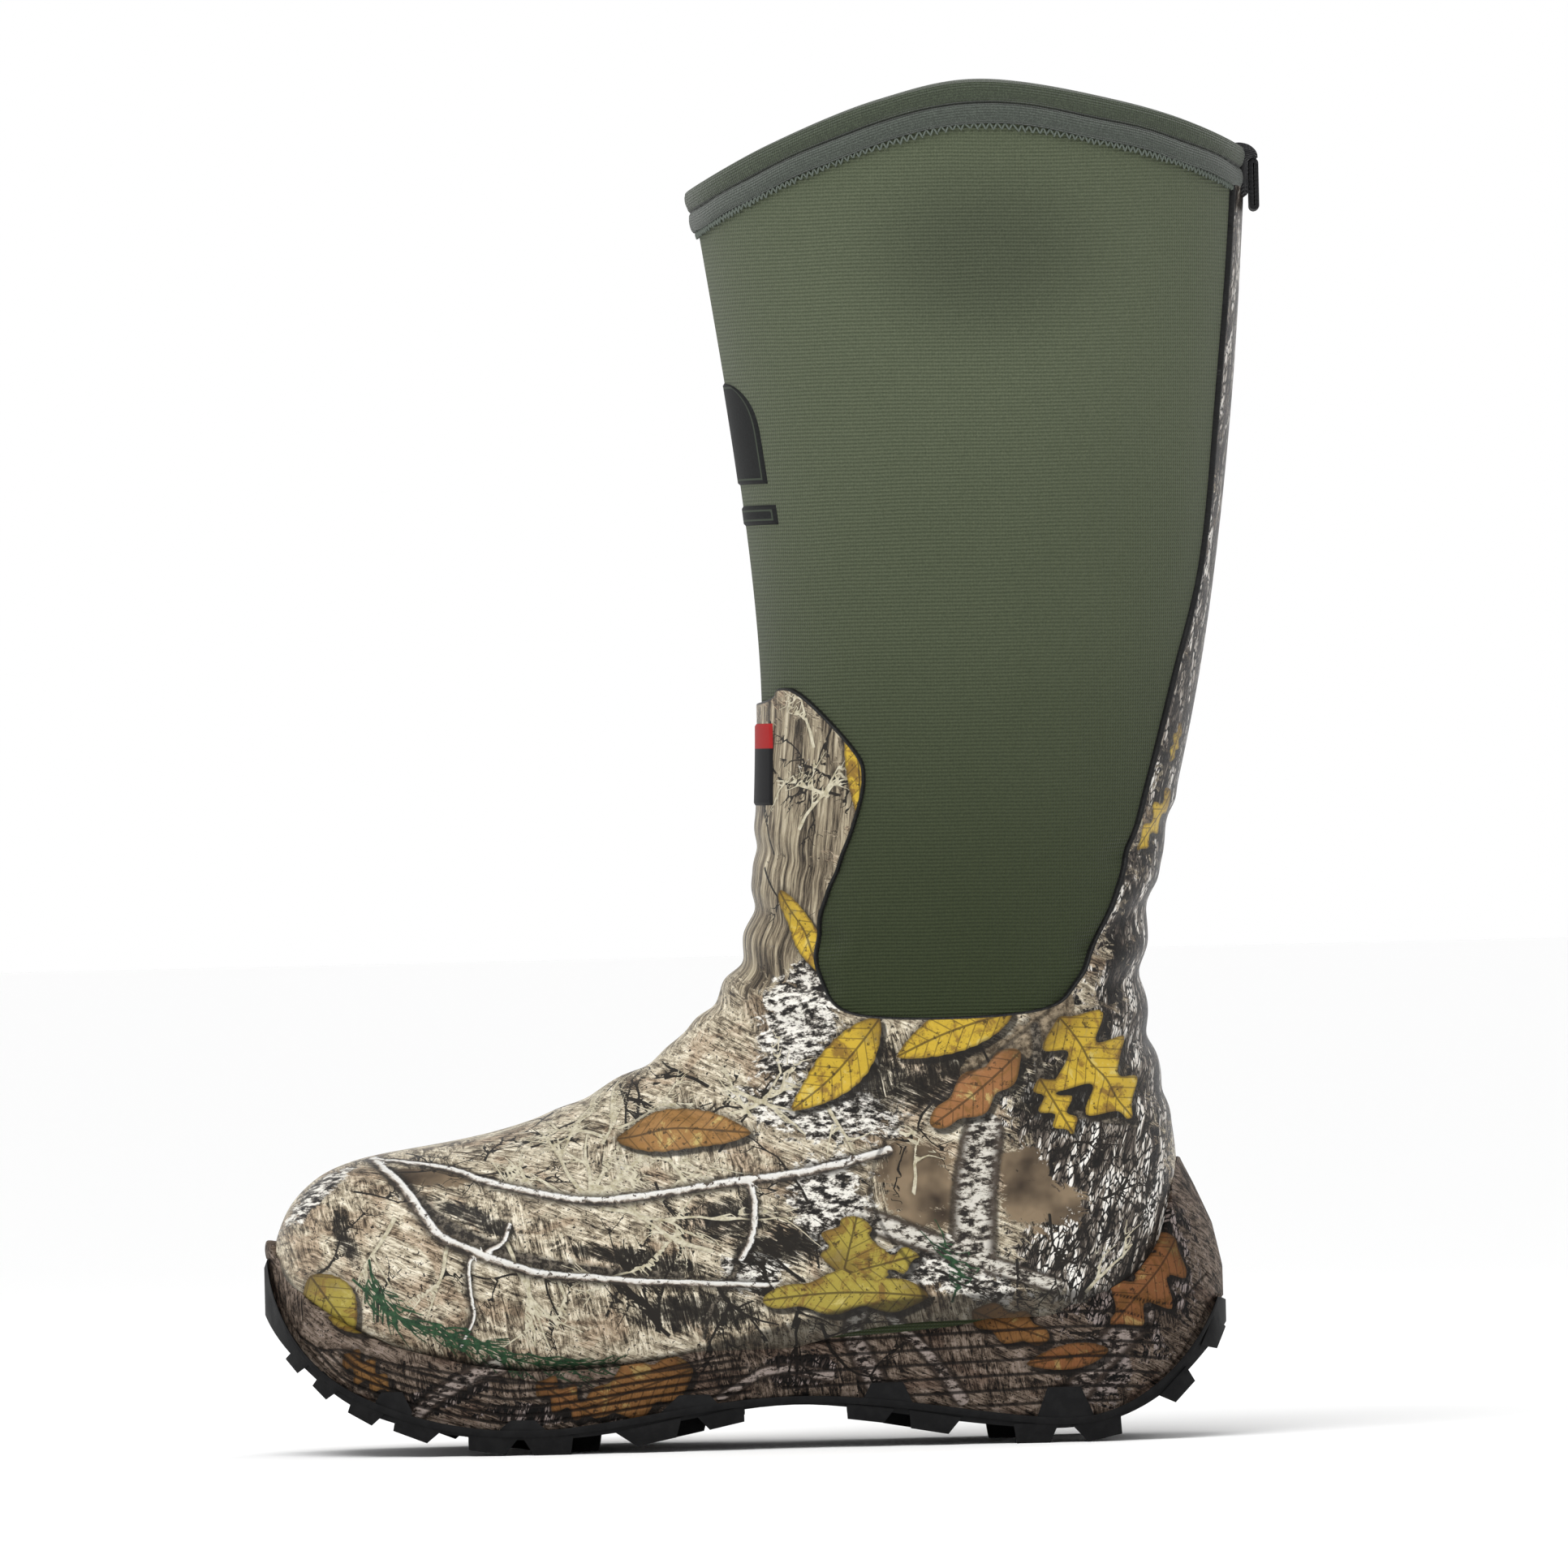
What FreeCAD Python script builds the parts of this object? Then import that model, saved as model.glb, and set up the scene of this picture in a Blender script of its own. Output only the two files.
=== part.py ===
"""Insulated knee-high hunting boot, left foot, standing on its sole.

Millimetres, +Z up, toe towards -X, lateral side towards -Y, origin on the ground under the middle of
the boot. A fan of closed sections runs from the collar, round the ankle and out to the toe; it gives
the outer skin of the boot. Every upper layer is the gap between two offsets of that skin: camouflage
rubber, neoprene bootie, batting and lining. The sole parts are side profiles extruded across the boot
and cut to the plan outline. The layers part at the ankle on a cylinder, so that the shaft can flex.
"""

import FreeCAD
import Part
import math
import os

V = FreeCAD.Vector
os.makedirs("parts", exist_ok=True)

# ---- driving dimensions -------------------------------------------------------------------------
HALF_SPAN = 90.0  # half-width of a tool that must pass right across the boot
RUBBER = (0.0, 1.6)  # each upper layer as depths below the outer skin
NEOPRENE = (1.8, 6.6)
BATTING = (6.8, 9.2)
LINING = (9.4, 10.6)
STIFFENER = (6.8, 8.0)
BINDING = (0.0, 12.2)  # the folded tape, outer leaf to inner leaf
BINDING_PLY = 1.5
BINDING_HEIGHT = 12.5
FLEX_CENTRE = (55.0, 138.0)  # ankle axis in side view
FLEX_RADIUS = 75.0
FLEX_GAP = 0.4
FOOTBED_DEPTH = 12.0
COVER_THICK = 0.9
LOOP = (168.3, 421.0, 14.0, 3.0, 1.2)  # x of its middle, pivot height, drop, thickness, ply
LOOP_HALF_WIDTH = 11.0
SEAM_GAP = 0.3
BOOTIE_SEAM = -30.0  # x at which the bootie's toe and heel panels meet
PATCH_PROUD = 0.8
STITCH = (0.7, 1.7)
BADGE = (0.9, 1.7)
LABEL = (-0.6, -0.1)
TOE_PUFF_END = -108.0
COUNTER_START = 82.0
COUNTER_TOP = 92.0
BOARD = (1.1, 2.6)  # gap under the skin and outer face of the board
SHANK = (5.0, 70.0, 12.0, 21.7, 1.4)  # x from, x to, half-width, height of its underside, thickness
MIDSOLE_TAPER = 12.0
FOOTBED_TOE = -139.0
PAD_CENTRE, PAD_RADIUS, PAD_FLOOR = 88.0, 20.0, 41.2

# Section fan. Front end x, z; back end x, z; half-width; where the widest point lies between front
# and back; roundness of the front half and of the back half (2 is an ellipse, more is squarer).
FAN = [
    (-27.5, 460.0, 168.6, 460.0, 61.0, 0.50, 2.1, 2.2),
    (-15.5, 383.0, 164.2, 383.0, 60.0, 0.50, 2.1, 2.2),
    (-7.3, 329.0, 159.0, 329.0, 58.0, 0.50, 2.1, 2.2),
    (-1.8, 275.0, 151.6, 275.0, 53.5, 0.50, 2.1, 2.2),
    (-0.5, 241.0, 145.2, 241.0, 50.5, 0.50, 2.1, 2.2),
    (-2.1, 208.0, 137.3, 208.0, 47.0, 0.50, 2.1, 2.2),
    (-3.4, 181.0, 130.2, 181.0, 44.5, 0.50, 2.1, 2.2),
    (-6.2, 166.0, 126.4, 163.0, 43.5, 0.51, 2.0, 2.2),
    (-11.6, 155.0, 125.2, 148.0, 43.0, 0.52, 2.0, 2.2),
    (-17.2, 148.0, 127.0, 133.0, 43.0, 0.53, 2.0, 2.3),
    (-22.3, 142.5, 132.0, 114.5, 43.5, 0.55, 2.0, 2.4),
    (-27.2, 137.6, 136.0, 91.0, 44.0, 0.57, 2.0, 2.7),
    (-32.4, 133.2, 134.0, 62.0, 44.5, 0.58, 2.0, 3.2),
    (-38.0, 129.3, 122.0, 35.0, 44.5, 0.60, 2.0, 3.6),
    (-44.4, 125.6, 94.0, 26.5, 45.0, 0.62, 2.0, 4.0),
    (-52.0, 121.6, 57.0, 26.5, 46.5, 0.64, 2.0, 4.2),
    (-61.5, 116.8, 19.0, 27.0, 49.5, 0.64, 2.0, 4.4),
    (-73.5, 111.4, -19.0, 24.5, 53.0, 0.63, 2.1, 4.6),
    (-88.0, 106.7, -54.0, 20.5, 55.5, 0.61, 2.2, 4.6),
    (-104.0, 103.4, -85.0, 20.0, 55.5, 0.60, 2.3, 4.5),
    (-120.0, 101.0, -112.0, 23.0, 52.0, 0.58, 2.3, 4.0),
    (-134.5, 98.6, -132.0, 29.0, 45.0, 0.56, 2.3, 3.4),
    (-147.0, 94.3, -146.5, 35.5, 36.5, 0.55, 2.2, 2.8),
    (-156.5, 86.8, -156.8, 42.5, 27.0, 0.54, 2.1, 2.4),
    (-162.6, 77.5, -163.0, 50.0, 16.0, 0.52, 2.0, 2.1),
]
TOE_POINT = (-166.2, 62.0)
SECTION_POINTS = 28

# Sideways shift of the foot's centre line, x then shift; the toe leans to the medial side.
LEAN = [(-170.0, 7.5), (-110.0, 3.5), (-70.0, 0.5), (-10.0, -2.5), (60.0, -1.0), (140.0, 0.0)]
LEAN_FADE = (60.0, 120.0)  # heights over which the shift dies out

# Side view curves, x and z.
COLLAR = [(-40, 404), (-17.3, 416.5), (9.1, 429.4), (43.6, 442.0), (78.7, 448.0), (124.6, 440.2),
          (157.7, 429.2), (190, 411)]
RIM = [(-166.8, 65), (-163.5, 49.8), (-149, 28.7), (-134, 19.3), (-95.7, 8.9), (-72, 8.4), (-35, 13.3),
       (9.5, 17.3), (48, 14.0), (85, 8.9), (108, 9.2), (132.3, 23.2), (147.8, 46)]
RIM_STEPS = [(-131, -129, -122, -119, 21.5), (-90, -86.5, -78.5, -75, 11.6),
             (-37, -31, -21, -17.5, 18.6), (29.5, 32.5, 43, 46, 21.0), (87, 90.5, 101.5, 105.5, 18.2)]
BASE = [(-171.0, 55), (-163.9, 39.8), (-153.6, 28.6), (-139.6, 17.6), (-113.7, 8.6), (-66.5, 5.4),
        (-41, 8.4), (9.4, 14.5), (43.5, 10.4), (79.5, 5.6), (105, 5.6), (127.9, 14.8), (140.8, 26.1),
        (155.0, 43)]
FEATHER = [(-174, 80.0), (-165.5, 66.5), (-154.0, 51.5), (-133.8, 39.2), (-113.3, 33.0), (-82.5, 27.6),
           (-41.3, 29.6), (0, 38.6), (25.5, 44.8), (49, 47.6), (92.3, 48.9), (110.7, 49.2)]
KICKER_INNER = [(110.7, 49.2), (122, 56.5), (132.3, 67), (135.7, 78), (136.4, 92.5)]
KICKER_OUTER = [(137.6, 92.5), (141.4, 84), (147.2, 70.5), (150.6, 56), (150.4, 46)]
WINDOW = [(-70, 238), (-3, 245.5), (5.8, 250.4), (14.5, 248), (30.5, 231), (34.6, 221), (31, 205),
          (20, 177), (18, 161), (22, 148), (33.5, 142.2), (65, 141.0), (93.5, 143.6), (103, 152),
          (114, 173), (126, 208), (138, 251), (150, 290), (157.5, 345), (163.0, 405), (168, 480)]
HEEL_SEAM = [(97, 143), (72, 124), (47, 107), (38, 96), (35, 84), (39, 72), (48, 59), (54, 40), (54, 20)]
FOOTBED_TOP = [(-170, 70), (-130, 45.0), (-110, 39.5), (-85, 37.0), (-50, 38.5), (-15, 42.5),
               (20, 45.5), (57, 45.0), (94, 44.0), (150, 46.0)]

# Plan outline of the sole, x and y, from the toe round the lateral side to the heel and back.
OUTLINE = [(-168.7, 7.5), (-163, -13), (-147, -36), (-120, -51.5), (-88, -59.0), (-62, -60), (-25, -56.5),
           (15, -51), (60, -48), (100, -47.5), (128, -39.5), (145, -22.5), (151.6, 0), (145, 22.5),
           (128, 39), (100, 46.5), (60, 44), (20, 44), (-15, 48.5), (-50, 56.5), (-85, 60.5),
           (-118, 57), (-146, 45.5), (-163, 27)]

# Tread blocks in side view: front x, z and back x, z of the sole face; height; spread of the root
# beyond the face at the front and at the back.
LUGS = [
    (-161.0, 32.5, -157.0, 27.8, 6.0, 0.5, 0.5),
    (-152.0, 23.8, -147.5, 19.2, 6.0, 1.0, 1.0),
    (-140.3, 15.0, -132.4, 10.6, 5.5, 1.0, 2.0),
    (-125.3, 8.8, -114.2, 4.6, 6.0, 1.0, 3.5),
    (-100.5, 2.2, -88.5, 0.4, 6.5, 1.0, 4.0),
    (-79.0, 0.0, -66.9, 0.0, 6.5, 4.0, 1.0),
    (-45.0, 2.2, -32.0, 4.8, 6.0, 6.0, 3.0),
    (-21.0, 7.0, -9.6, 9.4, 5.0, 3.0, 1.0),
    (24.4, 9.4, 36.3, 7.8, 5.0, 1.0, 3.0),
    (45.2, 5.8, 57.5, 3.6, 6.0, 1.5, 3.5),
    (80.0, 0.0, 91.0, 0.0, 6.5, 1.0, 3.0),
    (103.7, 0.0, 114.8, 2.4, 6.5, 4.0, 1.0),
    (132.8, 12.0, 139.5, 18.8, 5.5, 2.0, 1.5),
    (147.2, 29.0, 150.4, 36.0, 5.5, 1.0, 1.0),
]
LUG_RING = 22.0  # width of the outer ring of tread blocks
CENTRE_STAGGER = 9.0
CENTRE_ROWS = (3, 4, 5, 6, 9, 10)


# ---- helpers ------------------------------------------------------------------------------------
def smooth(a, b, x):
    """0 below a, 1 above b, with a smooth step between."""
    t = min(1.0, max(0.0, (x - a) / (b - a)))
    return t * t * (3 - 2 * t)


def along(table, x):
    """Straight-line reading of a table of (x, value)."""
    for (x0, v0), (x1, v1) in zip(table, table[1:]):
        if x <= x1:
            return v0 + (v1 - v0) * max(0.0, (x - x0) / (x1 - x0))
    return table[-1][1]


def lean(x, z):
    return along(LEAN, x) * (1 - smooth(*LEAN_FADE, z))


def spline(points, periodic=False):
    curve = Part.BSplineCurve()
    curve.interpolate(Points=points, PeriodicFlag=periodic)
    return curve.toShape()


def lifted(points, rise):
    return [(x, z + rise) for x, z in points]


def side_prism(*runs):
    """A side-view outline made into a solid right across the boot.

    Each run is a list of (x, z); a run of more than four is a smooth curve, a shorter one straight.
    """
    edges, start, pen = [], None, None
    for run in runs:
        points = [V(x, -HALF_SPAN, z) for x, z in run]
        if pen is not None and pen.distanceToPoint(points[0]) > 1e-6:
            edges.append(Part.makeLine(pen, points[0]))
        if len(points) > 4:
            edges.append(spline(points))
        else:
            edges += [Part.makeLine(a, b) for a, b in zip(points, points[1:])]
        start, pen = start or points[0], points[-1]
    edges.append(Part.makeLine(pen, start))
    return Part.Face(Part.Wire(edges)).extrude(V(0, 2 * HALF_SPAN, 0))


def box(x0, x1, y0, y1, z0, z1):
    return Part.makeBox(x1 - x0, y1 - y0, z1 - z0, V(x0, y0, z0))


def save(name, shape):
    """Writes one node, keeping only its real solids."""
    solids = [s for s in shape.Solids if s.Volume > 2.0]
    whole = solids[0] if len(solids) == 1 else Part.Compound(solids)
    whole.exportStep("parts/" + name + ".step")
    print("%-18s solids %2d  volume %9.0f  %s" % (name, len(solids), whole.Volume, whole.isValid()))


# ---- the boot's skin ----------------------------------------------------------------------------
def skin_point(row, angle):
    """A point of one section; angle 0 is its front end and pi its back end, and y follows its sign."""
    fx, fz, bx, bz, half, widest, front_round, back_round = row
    cx, cz = fx + (bx - fx) * widest, fz + (bz - fz) * widest
    c, s = math.cos(angle), math.sin(angle)
    power = 2 / (front_round if c > 0 else back_round)
    ex, ez = (fx, fz) if c > 0 else (bx, bz)
    reach = abs(c) ** power
    x, z = cx + (ex - cx) * reach, cz + (ez - cz) * reach
    return V(x, math.copysign(abs(s) ** power * half, s) + lean(x, z), z)


ANGLES = [2 * math.pi * (k + 0.5) / SECTION_POINTS for k in range(SECTION_POINTS)]
GRID = [[skin_point(row, a) for a in ANGLES] for row in FAN]
TIP = V(TOE_POINT[0], lean(*TOE_POINT), TOE_POINT[1])


def inward(i, k):
    """Unit normal of the skin at a grid point, pointing into the boot."""
    before = GRID[max(i - 1, 0)][k]
    after = GRID[i + 1][k] if i + 1 < len(GRID) else TIP
    around = GRID[i][(k + 1) % SECTION_POINTS] - GRID[i][k - 1]
    normal = (after - before).cross(around)
    if i == 0:
        normal.z = 0
    return normal.normalize()


def make_skin(depth):
    """The solid inside the skin moved inward by depth: a smooth surface with a flat lid on top."""
    rows = [[p + inward(i, k) * depth for k, p in enumerate(row)] for i, row in enumerate(GRID)]
    rows.append([TIP + V(depth, 0, 0)] * SECTION_POINTS)
    spans = len(rows) - 3
    surface = Part.BSplineSurface()
    surface.buildFromPolesMultsKnots(
        rows, [4] + [1] * (spans - 1) + [4], [1] * (SECTION_POINTS + 1), list(range(spans + 1)),
        list(range(SECTION_POINTS + 1)), False, True, 3, 3)
    face = surface.toShape()
    ring = [e for e in face.Edges if e.isClosed() and e.Length > 100 and e.BoundBox.ZLength < 1]
    shell = Part.makeShell([face, Part.Face(Part.Wire(ring))])
    shell.sewShape()
    solid = Part.makeSolid(shell)
    if solid.Volume < 0:
        solid.reverse()
    return solid


SKINS = {}


def skin(depth):
    if depth not in SKINS:
        SKINS[depth] = make_skin(depth)
    return SKINS[depth]


def layer(depths):
    return skin(depths[0]).cut(skin(depths[1]))


# ---- zones --------------------------------------------------------------------------------------
def above_collar(drop=0.0):
    return side_prism(lifted(COLLAR, -drop), [(190, 520), (-60, 520)])


def shaft_zone(radius):
    """Everything above the ankle and outside the flex cylinder."""
    cx, cz = FLEX_CENTRE
    front, back = math.radians(155), math.radians(5)
    corners = [(cx + 400 * math.cos(front), cz + 400 * math.sin(front)), (-300, 600), (500, 600)]
    corners += [(cx + 400 * math.cos(back), cz + 400 * math.sin(back))]
    wedge = side_prism([(cx, cz)] + corners[:2], corners[2:])
    return wedge.cut(Part.makeCylinder(radius, 400, V(cx, -200, cz), V(0, 1, 0)))


def plan_block(grow, z0=-5.0, z1=110.0, taper=0.0):
    """The sole's plan outline moved outward by grow; both sides lean in by taper on the way up."""
    rings = []
    for z, lean_in in ((z0, 0.0), (z1, taper)):
        ring = []
        for k, (x, y) in enumerate(OUTLINE):
            ax, ay = OUTLINE[k - 1]
            bx, by = OUTLINE[(k + 1) % len(OUTLINE)]
            tangent = V(bx - ax, by - ay, 0).normalize()
            ring.append(V(x + tangent.y * grow, y - tangent.x * (grow - lean_in), z))
        rings.append(Part.Wire([spline(ring, periodic=True)]))
    return Part.makeLoft(rings, True, True)


# ---- parts --------------------------------------------------------------------------------------
shaft = shaft_zone(FLEX_RADIUS + FLEX_GAP / 2).cut(above_collar(BINDING_PLY + SEAM_GAP))
not_foot = shaft_zone(FLEX_RADIUS - FLEX_GAP / 2)
window = side_prism(WINDOW, [(-70, 480)])
heel_patch = side_prism(HEEL_SEAM, [(200, 20), (200, 143)])


def shaft_part(depths):
    return layer(depths).common(shaft)


def foot_part(depths):
    return layer(depths).cut(not_foot)


def make_upper():
    """Camouflage rubber, neoprene, batting and lining, each in a foot half and a shaft half."""
    sock = foot_part(NEOPRENE)
    save("bootie_toe", sock.common(box(-200, BOOTIE_SEAM, -90, 90, 0, 250)))
    save("bootie_heel", sock.common(box(BOOTIE_SEAM + 0.1, 200, -90, 90, 0, 250)))
    save("shaft_sleeve", shaft_part(NEOPRENE))

    rubber_foot = foot_part(RUBBER).cut(window)
    save("vamp_shell", rubber_foot.cut(heel_patch))
    inset = side_prism(HEEL_SEAM, [(200, 20), (200, 143)])
    inset.translate(V(SEAM_GAP, 0, -SEAM_GAP))
    proud = skin(-PATCH_PROUD).cut(skin(RUBBER[1])).cut(not_foot).cut(window)
    save("heel_patch", proud.common(inset))

    rubber_shaft = shaft_part(RUBBER).cut(window).cut(above_collar(BINDING_HEIGHT + SEAM_GAP))
    save("shin_guard", rubber_shaft.common(box(-100, 60, -90, 90, 0, 500)))
    save("spine_strip", rubber_shaft.common(box(60, 200, -90, 90, 0, 500)))

    toe_room = box(-200, TOE_PUFF_END, -90, 90, 0, 200)
    heel_room = box(COUNTER_START, 200, -90, 90, 0, COUNTER_TOP)
    stiff = layer(STIFFENER)
    save("toe_puff", stiff.common(toe_room))
    save("heel_counter", stiff.common(heel_room))
    keep_out = layer((STIFFENER[0] - 0.5, STIFFENER[1] + 0.2))
    toe_keep = keep_out.common(box(-200, TOE_PUFF_END + SEAM_GAP, -90, 90, 0, 200))
    heel_keep = keep_out.common(box(COUNTER_START - SEAM_GAP, 200, -90, 90, 0, COUNTER_TOP + SEAM_GAP))
    save("batting_foot", foot_part(BATTING).cut(toe_keep).cut(heel_keep))
    save("batting_shaft", shaft_part(BATTING))
    save("lining_foot", foot_part(LINING))
    save("lining_shaft", shaft_part(LINING))


def make_collar():
    """The tape folded over the top edge, and the row of stitching under it."""
    whole = layer(BINDING).common(above_collar(BINDING_HEIGHT)).cut(above_collar())
    slot = layer((BINDING_PLY, BINDING[1] - BINDING_PLY)).cut(above_collar(BINDING_PLY))
    save("collar_binding", whole.cut(slot))
    row = layer(STITCH).common(above_collar(BINDING_HEIGHT + 2.2)).cut(above_collar(BINDING_HEIGHT + 0.2))
    save("collar_stitching", row.cut(box(158, 200, -90, 90, 0, 500)))


def make_badges():
    """A blank arched badge and a bar on the front of the sleeve, and a blank label on the shin."""
    skin_here = layer(BADGE)
    arch = Part.makeCylinder(26, 80, V(-60, 0, 326), V(1, 0, 0)).fuse(box(-60, 20, -26, 26, 318, 326))
    bar = box(-60, 20, -22, 22, 304, 311)
    front = box(-60, 22, -90, 90, 0, 500)
    save("front_badge", skin_here.common(arch.common(box(-60, 20, -26, 26, 318, 360)).fuse(bar)).common(front))
    save("shin_label", layer(LABEL).common(box(-60, 30, -15, 15, 212, 239)))


def make_sole():
    """Outsole with its tread, camouflage midsole, foam core, shank and board."""
    below_rim = side_prism(RIM, BASE[-1:], BASE[::-1])
    rim_bead = side_prism(RIM, lifted(RIM, -2.2)[-1:], lifted(RIM, -2.2)[::-1])
    steps = []
    for x0, x1, x2, x3, top in RIM_STEPS:
        steps.append(side_prism([(x0, along(RIM, x0)), (x1, top), (x2, top), (x3, along(RIM, x3))],
                                [(x3, along(RIM, x3) - 2.5), (x0, along(RIM, x0) - 2.5)]))
    bottom = below_rim.multiFuse(steps).common(plan_block(-0.8))
    outsole = [bottom, rim_bead.common(plan_block(0.0))]

    ring = plan_block(-0.4, -5, 75).cut(plan_block(-LUG_RING, -6, 76))
    centre = plan_block(-LUG_RING - 6.0, -5, 75)
    for number, (xf, zf, xb, zb, height, front, back) in enumerate(LUGS):
        run = V(xb - xf, 0, zb - zf).normalize()
        up = V(-run.z, 0, run.x) * height
        root = [(xb + up.x + run.x * back, zb + up.z + run.z * back),
                (xf + up.x - run.x * front, zf + up.z - run.z * front)]
        lug = side_prism([(xf, zf), (xb, zb)], root)
        outsole.append(lug.common(ring))
        if number in CENTRE_ROWS:
            shift = CENTRE_STAGGER if xf < 0 else -CENTRE_STAGGER
            lug.translate(V(shift, 0, max(0.4, along(BASE, xf + shift) - along(BASE, xf))))
            outsole.append(lug.common(centre))
    whole = outsole[0].multiFuse(outsole[1:])
    save("outsole", whole)

    sides = side_prism(FEATHER, KICKER_INNER, KICKER_OUTER, RIM[::-1])
    block = sides.common(plan_block(-1.6, -5, 110, MIDSOLE_TAPER)).cut(skin(-0.2))
    patch_room = skin(-PATCH_PROUD - 0.2).common(side_prism(lifted(HEEL_SEAM, 2.0), [(200, 20), (200, 143)]))
    block = block.cut(patch_room)
    block = block.cut(whole)
    pocket_side = side_prism(lifted(RIM, 2.4), [(160, 80), (-170, 80)])
    pocket = pocket_side.common(plan_block(-8.0, -5, 70)).common(box(-118, 118, -80, 80, 0, 60))
    room = [box(s[0] - 2, s[3] + 2, -90, 90, 0, s[4] + 0.4) for s in RIM_STEPS]
    pocket = pocket.cut(Part.Compound(room))
    save("midsole", block.cut(pocket))

    board = layer((-BOARD[1], -BOARD[0])).common(box(-112, 100, -90, 90, 0, 33)).common(plan_block(-12.0, -5, 70))
    save("insole_board", board)
    core = pocket_side.common(plan_block(-8.3, -5, 70)).common(box(-117.7, 117.7, -80, 80, 0, 60))
    core = core.cut(Part.Compound(room)).cut(skin(-BOARD[1] - 0.2)).cut(whole)
    shank = box(SHANK[0], SHANK[1], -SHANK[2], SHANK[2], SHANK[3], SHANK[3] + SHANK[4])
    shank_room = box(SHANK[0] - 0.3, SHANK[1] + 0.3, -SHANK[2] - 0.3, SHANK[2] + 0.3, SHANK[3] - 0.1, 60)
    save("shank", shank)
    save("midsole_core", core.cut(shank_room))


def make_footbed():
    """Removable footbed: moulded foam, fabric cover and a heel pad let into its top."""
    inside = skin(FOOTBED_DEPTH).common(box(FOOTBED_TOE, 200, -90, 90, 0, 60))
    foam = inside.common(side_prism(FOOTBED_TOP, [(150, 0), (-170, 0)]))
    pad = Part.makeCylinder(PAD_RADIUS, 30, V(PAD_CENTRE, 0, PAD_FLOOR))
    pocket = Part.makeCylinder(PAD_RADIUS + 0.3, 30, V(PAD_CENTRE, 0, PAD_FLOOR - 0.2))
    save("footbed", foam.cut(pocket))
    save("heel_pad", foam.common(pad))
    sheet = side_prism(lifted(FOOTBED_TOP, 0.2), lifted(FOOTBED_TOP, 0.2 + COVER_THICK)[::-1])
    save("footbed_cover", inside.common(sheet))


def make_pull_loop():
    """A flat loop of webbing that hangs from the back of the collar."""
    x, top, drop, thick, ply = LOOP
    r = thick / 2
    outer = box(x - r, x + r, -LOOP_HALF_WIDTH, LOOP_HALF_WIDTH, top - drop, top)
    inner = box(x - r + ply, x + r - ply, -LOOP_HALF_WIDTH - 1, LOOP_HALF_WIDTH + 1, top - drop, top)
    for z in (top, top - drop):
        outer = outer.fuse(Part.makeCylinder(r, 2 * LOOP_HALF_WIDTH, V(x, -LOOP_HALF_WIDTH, z), V(0, 1, 0)))
        inner = inner.fuse(Part.makeCylinder(r - ply, 2 * LOOP_HALF_WIDTH + 2, V(x, -LOOP_HALF_WIDTH - 1, z),
                                             V(0, 1, 0)))
    save("pull_loop", outer.cut(inner))


make_upper()
make_collar()
make_badges()
make_sole()
make_footbed()
make_pull_loop()
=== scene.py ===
"""Looks of the insulated hunting boot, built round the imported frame. Metres outside, mm in the tables."""
import math

import bmesh
import bpy
import numpy as np
from mathutils import Matrix, Vector
from mathutils.bvhtree import BVHTree


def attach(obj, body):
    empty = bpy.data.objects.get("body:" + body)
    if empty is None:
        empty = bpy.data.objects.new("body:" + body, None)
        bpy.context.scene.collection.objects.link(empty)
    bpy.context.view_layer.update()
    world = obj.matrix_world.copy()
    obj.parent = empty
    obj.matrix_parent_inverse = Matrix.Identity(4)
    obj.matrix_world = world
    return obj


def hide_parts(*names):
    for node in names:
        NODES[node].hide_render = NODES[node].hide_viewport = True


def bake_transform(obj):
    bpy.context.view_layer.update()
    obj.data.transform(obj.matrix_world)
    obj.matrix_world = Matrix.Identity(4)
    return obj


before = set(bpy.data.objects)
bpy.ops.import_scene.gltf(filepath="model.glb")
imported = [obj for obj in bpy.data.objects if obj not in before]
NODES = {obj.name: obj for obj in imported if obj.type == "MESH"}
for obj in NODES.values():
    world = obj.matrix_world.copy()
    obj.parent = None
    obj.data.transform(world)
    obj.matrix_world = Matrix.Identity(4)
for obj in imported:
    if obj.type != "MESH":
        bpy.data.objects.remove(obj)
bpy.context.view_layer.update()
MM = 0.001

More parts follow.
